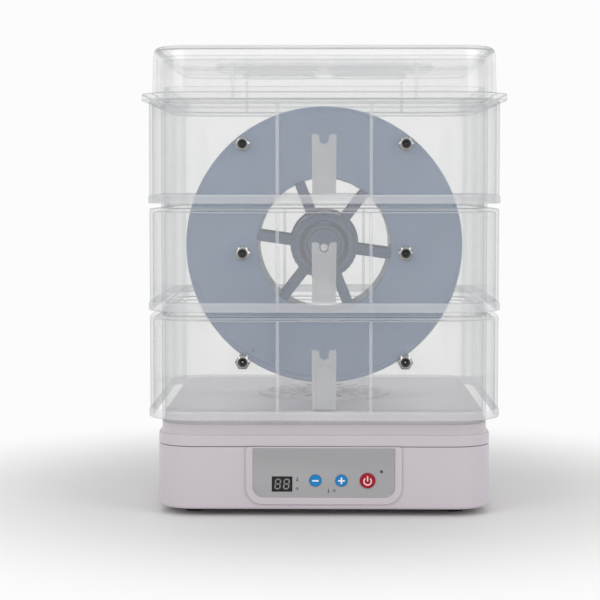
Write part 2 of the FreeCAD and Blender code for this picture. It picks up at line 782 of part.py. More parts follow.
def make_rotor():
    """The fan rotor: a hub and pitched blades."""
    body = new_body("rotor")
    hub = sketch_on(body, "XY_Plane", "0")
    draw_circle(hub, "rotor_hub_radius")
    pad(body, hub, "rotor_hub_height")
    blade = sketch_on(body, "YZ_Plane", "rotor_hub_radius / 2", y="rotor_hub_height / 2")
    bind(blade, "AttachmentOffset.Rotation.Angle", "blade_pitch")
    draw_rectangle(blade, "blade_chord / 2", "blade_thick / 2")
    polar_copies(body, pad(body, blade, f"{ROTOR_RADIUS} - rotor_hub_radius / 2"), BLADES)
    bore = sketch_on(body, "XY_Plane", "0")
    draw_circle(bore, "shaft_radius + running_fit")
    pocket(body, bore, "rotor_hub_height")
    place(body, z=ROTOR_LOW)
    subpart(body, "fan_rotor")


def make_grille(label, opening, level):
    """A round plate over an opening, with two rings of radial slots."""
    body = new_body(f"{label}_plate")
    disc = sketch_on(body, "XY_Plane", "0")
    draw_circle(disc, f"{opening} + grille_overlap")
    pad(body, disc, "grille_thick")
    for near, far in SLOT_SPANS:
        slot = sketch_on(body, "XY_Plane", "0", x=f"{opening} * {(near + far) / 2}")
        draw_rectangle(slot, f"{opening} * {(far - near) / 2}", "slot_width / 2")
        polar_copies(body, pocket(body, slot, "grille_thick"), VENT_SLOTS)
    place(body, z=level)
    subpart(body, label)


def make_heater():
    """The heater on top of the shroud: frame ring, elements, fins, cut-out, and the air sensor."""
    ring = tube(SHROUD_OUTER, f"{SHROUD_OUTER} - heater_ring_width", "heater_ring_thick", z=SHROUD_TOP)
    subpart(ring, "heater_frame")
    length = "2 * (shroud_radius - element_step)"
    elements = []
    for row in (-1, 0, 1):
        y = f"{row} * element_pitch"
        elements.append(box(length, "element_depth", "element_height", "0", y, HEATER_LOW))
    subpart(grouped(elements), "heater_elements")
    gap = "element_pitch - element_depth"
    fins = []
    for side in SIGNS:
        for step in range(-FINS_EACH_SIDE, FINS_EACH_SIDE + 1):
            y = f"{side} * element_pitch / 2"
            fins.append(box("fin_thick", gap, "element_height", f"{step} * fin_pitch", y, HEATER_LOW))
    subpart(grouped(fins), "heater_fins")
    middle = f"{SHROUD_OUTER} - heater_ring_width / 2"
    subpart(rod("cutout_radius", "cutout_height", y=middle, z=HEATER_LOW), "thermal_cutout")
    sensor_low = f"{DECK_UNDER} - sensor_length"
    sensor = rod("sensor_radius", "sensor_length", f"{SHROUD_OUTER} + sensor_gap", z=sensor_low)
    subpart(sensor, "temperature_sensor")


def make_tray(index, name):
    """One clear tray with its spigot, webs between its two walls, posts and outlets."""
    body = new_body(f"{name}_tray_shell")
    shoulder = f"({TRAY_HEIGHT} - outer_wall)"
    layer(body, pad, outline("inner_inset"), "-tray_gap", f"tray_gap + {TRAY_HEIGHT}")
    layer(body, pad, outline("0"), shoulder, "outer_wall")
    ring_layer(body, pad, outline("0"), outline("outer_wall"), "0", TRAY_HEIGHT)
    lip = outline("-tray_lip_proud")
    ring_layer(body, pad, lip, outline("outer_wall"), "0", "tray_lip_height")
    layer(body, pad, outline(SPIGOT_INSET), shoulder, "outer_wall + spigot_height")
    chamber = outline("inner_inset + inner_wall")
    layer(body, pocket, chamber, "-tray_gap", f"tray_gap + {shoulder}")
    mouth = outline(f"{SPIGOT_INSET} + inner_wall")
    layer(body, pocket, mouth, shoulder, "outer_wall + spigot_height")
    place(body, z=tray_low(index))
    plates = webs("web_place", "0", f"{TRAY_HEIGHT} - outer_wall / 2", tray_low(index))
    subpart(cut(fused([body] + plates), outlet_holes(index)), f"{name}_tray")
    make_posts(index, name)
    make_outlets(index, name)


def webs(x, inset, height, low):
    """Upright plates at the front and the rear that join the inner wall to an outer wall at an inset."""
    outer_end = f"({FRONT} - {inset} - outer_wall / 2)"
    depth = f"({outer_end} - {INNER_FACE} - inner_wall / 2)"
    plates = []
    for side, end in four_corners(x, f"({outer_end} - {depth} / 2)"):
        plates.append(box("web_thick", depth, height, side, end, low))
    return plates


def outlet_places(index):
    """The x and z of a tray's two outlets."""
    return [(f"{side} * outlet_place", f"{tray_low(index)} + outlet_height") for side in SIGNS]


def outlet_holes(index):
    """Tools for the clearance holes through both front walls."""
    reach = "inner_inset + inner_wall"
    radius = "outlet_barrel + slip_fit"
    return [rod(radius, reach, x, f"-{FRONT}", z, BACKWARD) for x, z in outlet_places(index)]


def make_outlets(index, name):
    """Hexagonal outlet fittings in the front wall, held by locknuts inside the tray."""
    fittings = []
    nuts = []
    front = f"-{FRONT} - outlet_head"
    length = "outlet_head + inner_inset + inner_wall + outlet_reach"
    for x, z in outlet_places(index):
        head = hexagon("2 * (outlet_barrel + outlet_head_step)", "outlet_head", x, front, z)
        barrel = rod("outlet_barrel", length, x, front, z, BACKWARD)
        bore = rod("outlet_socket - outlet_stop", length, x, front, z, BACKWARD)
        socket = rod("outlet_socket", "outlet_socket_depth", x, front, z, BACKWARD)
        fittings.append(cut(fused([head, barrel]), [bore, socket]))
        nut = hexagon("2 * (outlet_barrel + locknut_wall)", "locknut_thick", x, f"-{INNER_FACE}", z)
        hole = rod("outlet_barrel + running_fit", "locknut_thick", x, f"-{INNER_FACE}", z, BACKWARD)
        nuts.append(cut(nut, [hole]))
    subpart(grouped(fittings), f"{name}_outlet_fittings")
    subpart(grouped(nuts), f"{name}_outlet_locknuts")


def make_posts(index, name):
    """Two posts on the inner wall, front and rear, each with a notch for an axle."""
    foot = "(spigot_height - tray_gap + post_foot_gap)"
    low = f"{tray_low(index)} + {foot}"
    seat = f"{tray_low(index)} + {AXLE_HEIGHT}"
    mouth_low = f"{seat} + post_rise - notch_mouth_depth"
    half_notch = "(axle_radius + notch_clearance)"
    posts = []
    for end in SIGNS:
        y = f"{end} * ({INNER_FACE} - post_depth / 2)"
        back = f"{y} - post_depth / 2"
        post = box("post_width", "post_depth", f"{AXLE_HEIGHT} + post_rise - {foot}", "0", y, low)
        slot = box(f"2 * {half_notch}", "post_depth", "post_rise", "0", y, seat)
        mouth_width = f"2 * ({half_notch} + notch_flare)"
        mouth = box(mouth_width, "post_depth", "notch_mouth_depth", "0", y, mouth_low)
        cradle = rod(half_notch, "post_depth", "0", back, seat, BACKWARD)
        posts.append(cut(post, [slot, mouth, cradle]))
    subpart(grouped(posts), f"{name}_tray_posts")


def make_lid():
    """The clear lid: flange, double wall with a hollow rim, recessed deck, pan and finger pockets."""
    body = new_body("lid_shell")
    block = layer(body, pad, outline("lid_inset"), "0", "lid_height")
    round_off(body, block, "lid_edge")
    layer(body, pad, outline("-flange_proud"), "0", "flange_thick")
    channel = (outline("lid_inset + outer_wall"), outline("inner_inset"))
    ring_layer(body, pocket, *channel, "0", "lid_height - outer_wall")
    chamber = outline("inner_inset + inner_wall")
    deck = "(lid_height - lid_deck_drop)"
    layer(body, pocket, chamber, "0", f"{deck} - lid_deck_thick")
    layer(body, pocket, chamber, deck, "lid_deck_drop")
    pan = ("pan_width / 2", "pan_depth / 2", "pan_corner")
    sink(body, pan, deck, "pan_drop")
    finger = ("finger_width / 2", "finger_depth / 2", "finger_corner")
    for side in SIGNS:
        place_x = f"{side} * (finger_bar + finger_width) / 2"
        sink(body, finger, f"({deck} - pan_drop)", "finger_drop", place_x)
    place(body, z=LID_LOW)
    plates = webs("lid_web_place", "lid_inset", f"{deck} - lid_deck_thick", LID_LOW)
    subpart(fused([body] + plates), "lid")


def sink(body, shape, level, drop, x="0"):
    """Sink a rounded tray of the deck's thickness below a level of the lid."""
    shell = [f"{size} + lid_deck_thick" for size in shape]
    low = f"{level} - {drop}"
    layer(body, pad, shell, f"{low} - lid_deck_thick", f"{drop} + lid_deck_thick / 2", x)
    layer(body, pocket, shape, low, f"lid_height - ({low})", x)


def make_axle():
    """The rod that lies in the middle tray's posts."""
    reach = f"({INNER_FACE} - axle_end_gap)"
    subpart(rod("axle_radius", f"2 * {reach}", "0", f"-{reach}", AXLE_LEVEL, BACKWARD), "spool_axle")


def spool_turn(angle):
    """Turn a piece drawn about Z so that its axis runs backwards along the axle."""
    return BACKWARD * Rotation(Vector(0, 0, 1), angle)


def make_spool_flange(label, y):
    """A spool side: rim, spokes, hub ring and two holes for the filament's end."""
    body = new_body(f"{label}_disc")
    rim = sketch_on(body, "XY_Plane", "0")
    draw_circle(rim, "spool_radius")
    draw_circle(rim, "window_radius")
    pad(body, rim, "spool_flange")
    spoke_root = "(hub_bore + hub_wall / 2)"
    spoke_end = "(window_radius + drum_wall / 2)"
    spoke = sketch_on(body, "XY_Plane", "0", x=f"({spoke_end} + {spoke_root}) / 2")
    draw_rectangle(spoke, f"({spoke_end} - {spoke_root}) / 2", "spoke_width / 2")
    polar_copies(body, pad(body, spoke, "spool_flange"), SPOKES)
    hub = sketch_on(body, "XY_Plane", "0")
    draw_circle(hub, HUB_RADIUS)
    draw_circle(hub, "hub_bore")
    pad(body, hub, "spool_flange")
    for angle in END_HOLES:
        turn = math.radians(angle - SPOKE_TURN)
        reach = "(spool_radius - end_hole_inset)"
        x = f"{reach} * {math.cos(turn):.6f}"
        hole = sketch_on(body, "XY_Plane", "0", x, f"{reach} * {math.sin(turn):.6f}")
        draw_circle(hole, "end_hole_radius")
        pocket(body, hole, "spool_flange")
    place(body, "0", y, AXLE_LEVEL, spool_turn(SPOKE_TURN))
    subpart(body, label)


def make_spool():
    """The spool between its two flanges, carried by a sleeve and a knurled nut."""
    rear = "spool_front + spool_width"
    make_spool_flange("spool_front_flange", "spool_front")
    make_spool_flange("spool_rear_flange", f"{rear} - spool_flange")
    inner = "spool_width - 2 * spool_flange"
    start = ("0", "spool_front + spool_flange", AXLE_LEVEL, BACKWARD)
    subpart(tube("window_radius + drum_wall", "window_radius", inner, *start), "spool_drum")
    subpart(tube(HUB_RADIUS, "hub_bore", inner, *start), "spool_hub")
    make_hub_sleeve(rear)
    make_hub_nut()


def crescents(y, length):
    """Tools for two curved slots beside the sleeve, left and right of a bridge."""
    outer = rod("sleeve_radius + crescent_width", length, "0", y, AXLE_LEVEL, BACKWARD)
    inner = rod("sleeve_radius", length, "0", y, AXLE_LEVEL, BACKWARD)
    tall = "2 * (sleeve_radius + crescent_width)"
    bridge = box("crescent_bridge", length, tall, "0", f"{y} + ({length}) / 2", f"{AXLE_LEVEL} - {tall} / 2")
    return cut(outer, [inner, bridge])


def make_hub_sleeve(rear):
    """The bush on the axle, with a flange that clamps the spool's rear side."""
    front = "spool_front - nut_thick"
    length = f"{rear} + sleeve_flange_thick - ({front})"
    barrel = rod("sleeve_radius", length, "0", front, AXLE_LEVEL, BACKWARD)
    flange_radius = f"{HUB_RADIUS} + sleeve_flange_step"
    flange = rod(flange_radius, "sleeve_flange_thick", "0", rear, AXLE_LEVEL, BACKWARD)
    spigot_front = f"{rear} - nut_spigot"
    spigot = rod("hub_bore - slip_fit", "nut_spigot", "0", spigot_front, AXLE_LEVEL, BACKWARD)
    bore = rod("axle_radius + running_fit", length, "0", front, AXLE_LEVEL, BACKWARD)
    slots = crescents(spigot_front, "nut_spigot + sleeve_flange_thick")
    subpart(cut(fused([barrel, flange, spigot]), [bore, slots]), "hub_sleeve")


def make_hub_nut():
    """The knurled nut that clamps the spool's front side on the sleeve."""
    body = new_body("nut_disc")
    disc = sketch_on(body, "XY_Plane", "0")
    nut_radius = f"({HUB_RADIUS} + nut_step)"
    draw_circle(disc, nut_radius)
    pad(body, disc, "nut_thick")
    knurl = sketch_on(body, "XY_Plane", "0", x=f"{nut_radius} + knurl_radius / 4")
    draw_circle(knurl, "knurl_radius")
    polar_copies(body, pocket(body, knurl, "nut_thick"), KNURLS)
    front = "spool_front - nut_thick"
    place(body, "0", front, AXLE_LEVEL, spool_turn(0))
    spigot = rod("hub_bore - slip_fit", "nut_spigot", "0", "spool_front", AXLE_LEVEL, BACKWARD)
    length = "nut_thick + nut_spigot"
    bore = rod("sleeve_radius + running_fit", length, "0", front, AXLE_LEVEL, BACKWARD)
    slots = crescents(front, length)
    subpart(cut(fused([body, spigot]), [bore, slots]), "hub_nut")


def check_document():
    """Stop on a failed feature, an empty or broken piece, or a pocket that removed nothing."""
    doc.recompute()
    for thing in doc.Objects:
        if {"Invalid", "Error"} & set(thing.State):
            raise RuntimeError(f"{thing.Label} failed: {thing.State}")
        if thing.TypeId == "PartDesign::Pocket" and thing.Shape.Volume >= thing.BaseFeature.Shape.Volume:
            raise RuntimeError(f"{thing.Label} cuts nothing")
    for piece in subparts:
        if piece.Shape.isNull() or not piece.Shape.isValid():
            raise RuntimeError(f"{piece.Label} has no valid shape")


def main():
    make_base_body()
    make_base_cover()
    make_base_hardware()
    make_gland()
    make_panel()
    make_keys()
    make_panel_electronics()
    make_power_board()
    make_fan()
    make_grille("outlet_grille", VENT_RADIUS, DECK_TOP)
    make_heater()
    for index, name in enumerate(TRAYS):
        make_tray(index, name)
    make_lid()
    make_axle()
    make_spool()
    check_document()
    os.makedirs("parts", exist_ok=True)
    for piece in subparts:
        piece.Shape.exportStep(os.path.join("parts", f"{piece.Label}.step"))
        print(piece.Label, len(piece.Shape.Solids), round(piece.Shape.Volume, 1))


main()
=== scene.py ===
"""The looks of a filament dryer box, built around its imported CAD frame. Lengths are in millimetres."""
import json
import math

import bmesh
import bpy
from mathutils import Matrix, Vector


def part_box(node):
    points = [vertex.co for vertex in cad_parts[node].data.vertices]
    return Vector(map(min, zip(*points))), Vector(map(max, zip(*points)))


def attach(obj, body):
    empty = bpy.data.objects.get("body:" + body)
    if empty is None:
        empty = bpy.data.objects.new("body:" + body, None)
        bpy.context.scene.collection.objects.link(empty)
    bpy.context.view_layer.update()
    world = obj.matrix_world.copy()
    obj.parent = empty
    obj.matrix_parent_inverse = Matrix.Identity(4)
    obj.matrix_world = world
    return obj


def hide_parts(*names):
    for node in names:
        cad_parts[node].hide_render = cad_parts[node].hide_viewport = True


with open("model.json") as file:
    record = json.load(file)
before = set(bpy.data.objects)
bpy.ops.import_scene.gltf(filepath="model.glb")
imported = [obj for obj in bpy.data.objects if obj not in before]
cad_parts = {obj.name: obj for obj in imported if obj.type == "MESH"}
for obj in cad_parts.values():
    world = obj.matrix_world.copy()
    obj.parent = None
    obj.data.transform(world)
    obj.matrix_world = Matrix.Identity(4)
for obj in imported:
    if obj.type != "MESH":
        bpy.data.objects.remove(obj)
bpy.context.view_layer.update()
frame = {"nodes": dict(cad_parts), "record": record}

MM = 0.001
SIGNS = (-1, 1)
CLEAR_GAP = 0.05

# Sizes of the trays: half width, half depth and corner of the outline that all walls follow
SIDE = 123
FRONT = 120
CORNER = 32
CORNER_STEPS = 12
OUTER_WALL = 2.2
INNER_WALL = 2
INNER_INSET = 8.3
CHAMBER_INSET = INNER_INSET + INNER_WALL
SPIGOT_INSET = 10.6
SPIGOT_HEIGHT = 9.5
TRAY_GAP = 3.45
TRAY_HEIGHT = 71.5
TRAY_LOWS = {"bottom": 68, "middle": 143, "top": 218}
LIP_PROUD = 0.8
LIP_HEIGHT = 5
EDGE_STEP = 5.2
WEB_PLACE = 32.3
WEB_THICK = 2.4

# Lid
LID_LOW = 289.55
LID_HEIGHT = 37.45
LID_INSET = 2.4
LID_DRAFT = 1.1
LID_EDGE = 7.5
LID_EDGE_STEP = 2.6
FLANGE_PROUD = 5
FLANGE_THICK = 4.8
LID_DECK = 30
LID_SHEET = 2
PAN = (78, 34, 9)
PAN_DROP = 1.6
FINGER = (27.5, 25, 7)
FINGER_PLACE = 34
FINGER_DROP = 4.8
LID_WEB_PLACE = 63

# Base
FOOT_HEIGHT = 5
BASE_INSET = 6
BASE_WALL = 2.6
FLOOR_TOP = 7.6
SEAM = 49.2
SEAM_GAP = 0.35
BAND_TOP = 57
COLLAR_TOP = 64.5
DECK_TOP = 74
DECK_UNDER = 71.6
VENT_RADIUS = 46
INTAKE_RADIUS = 45
PANEL_FACE = FRONT - BASE_INSET
GLAND_PLACE = 70
GLAND_LEVEL = 24.6
GLAND_HOLE = 6.2
FOOT_PLACE = (92, 86)

# Control panel, on the front face of the base
PANEL_HALF = 49.4
PANEL_LOW = 13.8
PANEL_TOP = 48.2
PANEL_CORNERS = (7, 1)
OVERLAY_SHEET = 0.8
KEY_LEVEL = 25.6
MINUS_PLACE = -5.9
PLUS_PLACE = 12.2
POWER_PLACE = 30.4
SMALL_KEY = 4.1
LARGE_KEY = 5.3
LIGHT_PLACE = (40.1, 31.9)
LIGHT_RADIUS = 0.85
PANEL_HOLES = (
    (MINUS_PLACE, KEY_LEVEL, 4.3), (PLUS_PLACE, KEY_LEVEL, 4.3), (POWER_PLACE, KEY_LEVEL, 5.5),
    (*LIGHT_PLACE, 1.05),
)

# Axle, spool and outlets
AXLE_LEVEL = 187.4
AXLE_RADIUS = 3
SEAT_HEIGHT = 44.4
OUTLET_PLACE = 56
OUTLET_HEIGHT = 41
OUTLET_FACE = FRONT + 4
BARREL_RADIUS = 3.5
COLLET = (
    (0.45, 2.9), (0.45, 2), (1.3, 1.2), (2.3, 0.1), (2.9, -0.4), (3.15, -0.35), (3.15, -0.05), (2.9, -0.05),
    (2.45, 0.35), (2.45, 2.9),
)
POST_WIDTH = 17.2
POST_DEPTH = 11
SPOOL_RADIUS = 100
SPOOL_SIDE = 3.5
FRONT_SIDE = -55
REAR_SIDE = 11.5
WINDOW_RADIUS = 48.5
END_HOLE_REACH = 92
END_HOLE_RADIUS = 1.4
END_HOLE_ANGLES = (236, 246)
HUB_RING = (20, 24)
SPOKE_SIZE = (27, 7)
SPOKE_REACH = 36.2
SPOKE_TURN = 8
HUB_NUT_FRONT = -63

# Rounded corners: their steps, and the share of a side that one may take next to a rounded or a sharp one
ROUND_STEPS = 4
SHARED_ROOM = 0.45
OWN_ROOM = 0.9

# Shading: the angles past which an edge stays sharp or is bevelled, and the share that makes a step upright
SHARP_ANGLE = 35
BEVEL_ANGLE = 40
UPRIGHT_SHARE = 0.7

# Clear plastic: how fast veil and gloss rise towards a slanting look, and how much gloss there is
VEIL_POWER = 22
GLOSS_POWER = 8
GLOSS_GAIN = 0.2
GLOSS_LEAST = 0.022

# Stage, in metres
FLOOR_REACH = 6
# Radii over which the floor's painted shade round the box fades into plain white
PAINTED_SHADE_START = 0.16
PAINTED_SHADE_END = 0.4
WHITE_SEEN = 0.97
WORLD_LIGHT = 0.75
CAMERA_PLACE = (0, -1.32, 0.2316)
CAMERA_DOWN = 3.8
CAMERA_TURN = 0.79
CAMERA_LENS = 104.85
CAMERA_SENSOR = 36


def rounded(half_x, half_y, corner, z, x=0.0):
    """A level loop round a rectangle with rounded corners."""
    loop = []
    for quarter, (sx, sy) in enumerate(((1, 1), (-1, 1), (-1, -1), (1, -1))):
        middle = Vector((x + sx * (half_x - corner), sy * (half_y - corner), z))
        for step in range(CORNER_STEPS + 1):
            turn = math.radians(90 * (quarter + step / CORNER_STEPS))
            loop.append(middle + corner * Vector((math.cos(turn), math.sin(turn), 0)))
    return loop


def ring(inset, z):
    """A level loop along the tray outline moved inwards."""
    return rounded(SIDE - inset, FRONT - inset, CORNER - inset, z)


def circle(radius, z):
    """A level loop round the upright axis, with as many points as a rounded rectangle."""
    count = 4 * (CORNER_STEPS + 1)
    turns = [math.tau * (step + 0.5) / count for step in range(count)]
    return [Vector((radius * math.cos(turn), radius * math.sin(turn), z)) for turn in turns]


def soften(corners, closed=True):
    """Points of a profile, given as (across, up, radius) corners, with its corners rounded."""
    points = []
    last = len(corners) - 1
    for index, (across, up, radius) in enumerate(corners):
        here = Vector((across, up))
        if radius == 0 or (not closed and index in (0, last)):
            points.append(here)
            continue
        neighbours = (corners[index - 1], corners[(index + 1) % len(corners)])
        before, after = sides = [Vector(corner[:2]) - here for corner in neighbours]
        shares = [SHARED_ROOM if corner[2] else OWN_ROOM for corner in neighbours]
        room = min(side.length * share for side, share in zip(sides, shares))
        reach = min(radius / math.tan(before.angle(after) / 2), room)
        start = here + before.normalized() * reach
        end = here + after.normalized() * reach
        for step in range(ROUND_STEPS + 1):
            t = step / ROUND_STEPS
            points.append(start * (1 - t) ** 2 + here * 2 * t * (1 - t) + end * t * t)
    return points


def skin(bm, loops, closed=False, edge_step=0):
    """Faces between loops in turn; a closed skin joins the last loop to the first.

    With an edge step, shorter steps get the second finish and upright bends the third.
    """
    rows = [[bm.verts.new(point * MM) for point in loop] for loop in loops]
    pairs = list(zip(rows, rows[1:]))
    if closed:
        pairs.append((rows[-1], rows[0]))
    for low, high in pairs:
        step = high[0].co - low[0].co
        short = step.length < edge_step * MM
        upright = edge_step > 0 and abs(step.z) > UPRIGHT_SHARE * step.length
        for index in range(len(low)):
            after = (index + 1) % len(low)
            face = bm.faces.new((low[index], low[after], high[after], high[index]))
            bend = upright and index % (CORNER_STEPS + 1) != CORNER_STEPS
            face.material_index = 1 if short else 2 * int(bend)
    return rows


def edges_of(rows):
    """The edges that run along some rows of points."""
    found = []
    for row in rows:
        for index, vert in enumerate(row):
            after = row[(index + 1) % len(row)]
            found.extend(edge for edge in vert.link_edges if edge.other_vert(vert) is after)
    return found


def add_object(name, data):
    """A new object in the scene."""
    item = bpy.data.objects.new(name, data)
    bpy.context.scene.collection.objects.link(item)
    return item


def piece_from(bm, name, *materials):
    """A finished piece from a closed shape: doubles merged, faces outwards, flat faces kept flat."""
    bmesh.ops.remove_doubles(bm, verts=bm.verts, dist=1e-6)
    bmesh.ops.recalc_face_normals(bm, faces=bm.faces)
    mesh = bpy.data.meshes.new(name)
    bm.to_mesh(mesh)
    bm.free()
    piece = add_object(name, mesh)
    for material in materials:
        mesh.materials.append(material)
    smooth(piece)
    return piece


def smooth(piece):
    """Smooth shading that breaks at sharp edges and leaves flat faces flat."""
    piece.data.polygons.foreach_set("use_smooth", [True] * len(piece.data.polygons))
    piece.data.set_sharp_from_angle(angle=math.radians(SHARP_ANGLE))
    weighted = piece.modifiers.new("flat_faces", "WEIGHTED_NORMAL")
    weighted.keep_sharp = True


def plain_mesh(piece):
    """Turn what a piece's modifiers make into its own mesh, and take the modifiers away."""
    graph = bpy.context.evaluated_depsgraph_get()
    mesh = bpy.data.meshes.new_from_object(piece.evaluated_get(graph))
    piece.modifiers.clear()
    piece.data = mesh


def drill(piece, cutters):
    """Cut closed shapes out of a piece."""
    piece.modifiers.clear()
    for tool in cutters:
        hole = piece.modifiers.new("hole", "BOOLEAN")
        hole.object = tool
        hole.solver = "EXACT"
    plain_mesh(piece)
    for tool in cutters:
        bpy.data.objects.remove(tool)
    smooth(piece)


def keep(piece, body, slot, *nodes):
    """Let a piece ride on a body and hide the CAD nodes that it stands for; the slot is not used."""
    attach(piece, body)
    if nodes:
        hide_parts(*nodes)


def round_shape(radius, _turn):
    """The reach of a plain circle."""
    return radius


def hexagon(radius, turn):
    """The reach of a hexagon, given half its width across flats, with flats above and below."""
    sixth = math.tau / 6
    return radius / math.cos(turn % sixth - sixth / 2)


def knurled(radius, turn):
    """The reach of a grip with blunt teeth."""
    teeth = 36
    return radius - 0.9 * abs(math.sin(turn * teeth / 2)) ** 1.5


def lathe(bm, profile, place, upright=False, closed=True, count=48):
    """Turn a profile of (radius, along) points, some with a shape, about a backward or upright axis."""
    across = Vector((0, 1, 0)) if upright else Vector((0, 0, 1))
    axis = Vector((0, 0, 1)) if upright else Vector((0, 1, 0))
    turns = [math.tau * step / count for step in range(count)]
    rays = [math.cos(turn) * Vector((1, 0, 0)) + math.sin(turn) * across for turn in turns]
    loops = []
    for radius, along, *shape in profile:
        reach = shape[0] if shape else round_shape
        middle = Vector(place) + along * axis
        loops.append([middle + reach(radius, turn) * ray for turn, ray in zip(turns, rays)])
    return skin(bm, loops, closed)


def turned(name, material, profile, place=(0, 0, 0), upright=False, closed=True, count=48):
    """A turned piece from a closed profile, or from an open one that starts and ends on the axis."""
    bm = bmesh.new()
    lathe(bm, profile, place, upright, closed, count)
    return piece_from(bm, name, material)


def prism(bm, points, front, back):
    """An upright outline of (x, z) points carried from a front y to a back y, with both ends filled."""
    loops = [[Vector((x, y, z)) for x, z in points] for y in (front, back)]
    first, last = skin(bm, loops)
    bm.faces.new(first)
    bm.faces.new(last)


def bevel(bm, edges, size):
    """Round off some edges of a shape."""
    bmesh.ops.bevel(bm, geom=edges, offset=size * MM, segments=2, profile=0.5, affect="EDGES")


def plate(name, material, outlines, front, back, edge=0):
    """A piece from one or more upright outlines, with its sharp edges softened."""
    bm = bmesh.new()
    for points in outlines:
        prism(bm, points, front, back)
    if edge:
        bmesh.ops.recalc_face_normals(bm, faces=bm.faces)
        sharp = [line for line in bm.edges if line.calc_face_angle(0) > math.radians(BEVEL_ANGLE)]
        bevel(bm, sharp, edge)
    return piece_from(bm, name, material)


def cutter(name, draw):
    """A shape for cutting, drawn into a mesh of its own."""
    bm = bmesh.new()
    draw(bm)
    bmesh.ops.recalc_face_normals(bm, faces=bm.faces)
    mesh = bpy.data.meshes.new(name)
    bm.to_mesh(mesh)
    bm.free()
    return add_object(name, mesh)


def bore(x, z, radius, front, back):
    """A cutter for a round hole that runs backwards."""
    count = 40
    turns = [math.tau * step / count for step in range(count)]
    points = [(x + radius * math.cos(turn), z + radius * math.sin(turn)) for turn in turns]
    return cutter("bore", lambda bm: prism(bm, points, front, back))


# Shader groups and materials

def socket(tree, name, kind, way="INPUT"):
    """Add a named socket to a node group."""
    tree.interface.new_socket(name=name, in_out=way, socket_type=f"NodeSocket{kind}")


def wire(tree, *wires):
    """Link nodes, each time from a node's output to another node's input."""
    for source, output, target, entry in wires:
        tree.links.new(source.outputs[output], target.inputs[entry])


def maths(tree, operation, first, second):
    """The result of a Math node whose inputs are sockets or plain numbers."""
    node = tree.nodes.new("ShaderNodeMath")
    node.operation = operation
    for slot, value in zip(node.inputs, (first, second)):
        if isinstance(value, (int, float)):
            slot.default_value = value
        else:
            tree.links.new(value, slot)
    return node.outputs["Value"]


def blended(tree, share, first, second):
    """The mix of two shaders, with a share of the second."""
    blend = tree.nodes.new("ShaderNodeMixShader")
    for entry, source in (("Fac", share), (1, first), (2, second)):
        tree.links.new(source, blend.inputs[entry])
    return blend.outputs["Shader"]


def mottled_sockets(tree):
    """The named inputs and outputs of the mottled group."""
    socket(tree, "Vector", "Vector")
    for name in ("Scale", "Grain Scale", "Smooth", "Rough"):
        socket(tree, name, "Float")
    for name in ("Dark", "Light"):
        socket(tree, name, "Color")
    socket(tree, "Color", "Color", "OUTPUT")
    for name in ("Roughness", "Height"):
        socket(tree, name, "Float", "OUTPUT")


def mottled_group():
    """Slow changes of tone and gloss over a surface, and a fine grain for bump."""
    tree = bpy.data.node_groups.new("mottled", "ShaderNodeTree")
    mottled_sockets(tree)
    nodes = tree.nodes
    given = nodes.new("NodeGroupInput")
    result = nodes.new("NodeGroupOutput")
    slow = nodes.new("ShaderNodeTexNoise")
    slow.inputs["Detail"].default_value = 3
    grain = nodes.new("ShaderNodeTexNoise")
    grain.inputs["Detail"].default_value = 2
    spread = nodes.new("ShaderNodeMapRange")
    spread.inputs["From Min"].default_value = 0.3
    spread.inputs["From Max"].default_value = 0.7
    tone = nodes.new("ShaderNodeMix")
    tone.data_type = "RGBA"
    gloss = nodes.new("ShaderNodeMapRange")
    wire(
        tree,
        (given, "Vector", slow, "Vector"), (given, "Scale", slow, "Scale"),
        (given, "Vector", grain, "Vector"), (given, "Grain Scale", grain, "Scale"),
        (slow, "Fac", spread, "Value"),
        (spread, "Result", tone, "Factor"), (given, "Dark", tone, "A"), (given, "Light", tone, "B"),
        (spread, "Result", gloss, "Value"),
        (given, "Smooth", gloss, "To Min"), (given, "Rough", gloss, "To Max"),
        (tone, "Result", result, "Color"), (gloss, "Result", result, "Roughness"),
        (grain, "Fac", result, "Height"),
    )
    return tree


MOTTLED = mottled_group()


def finish(name, dark, light, gloss, scale, grain, bump, stretch=(1, 1, 1), metal=0, coat=0, shine=0.5):
    """A material whose tone, gloss and fine grain vary over the surface."""
    material = bpy.data.materials.new(name)
    material.use_nodes = True
    nodes = material.node_tree.nodes
    shader = nodes["Principled BSDF"]
    shader.inputs["Metallic"].default_value = metal
    shader.inputs["Coat Weight"].default_value = coat
    shader.inputs["Specular IOR Level"].default_value = shine
    shader.inputs["Coat Roughness"].default_value = 0.3
    place = nodes.new("ShaderNodeTexCoord")
    mapping = nodes.new("ShaderNodeMapping")
    mapping.inputs["Scale"].default_value = stretch
    mottle = nodes.new("ShaderNodeGroup")
    mottle.node_tree = MOTTLED
    settings = {"Scale": scale, "Grain Scale": grain, "Dark": (*dark, 1), "Light": (*light, 1),
                "Smooth": gloss[0], "Rough": gloss[1]}
    for key, value in settings.items():
        mottle.inputs[key].default_value = value
    relief = nodes.new("ShaderNodeBump")
    relief.inputs["Strength"].default_value = bump
    relief.inputs["Distance"].default_value = 0.0005
    wire(
        material.node_tree,
        (place, "Object", mapping, "Vector"), (mapping, "Vector", mottle, "Vector"),
        (mottle, "Color", shader, "Base Color"), (mottle, "Roughness", shader, "Roughness"),
        (mottle, "Height", relief, "Height"), (relief, "Normal", shader, "Normal"),
    )
    return material


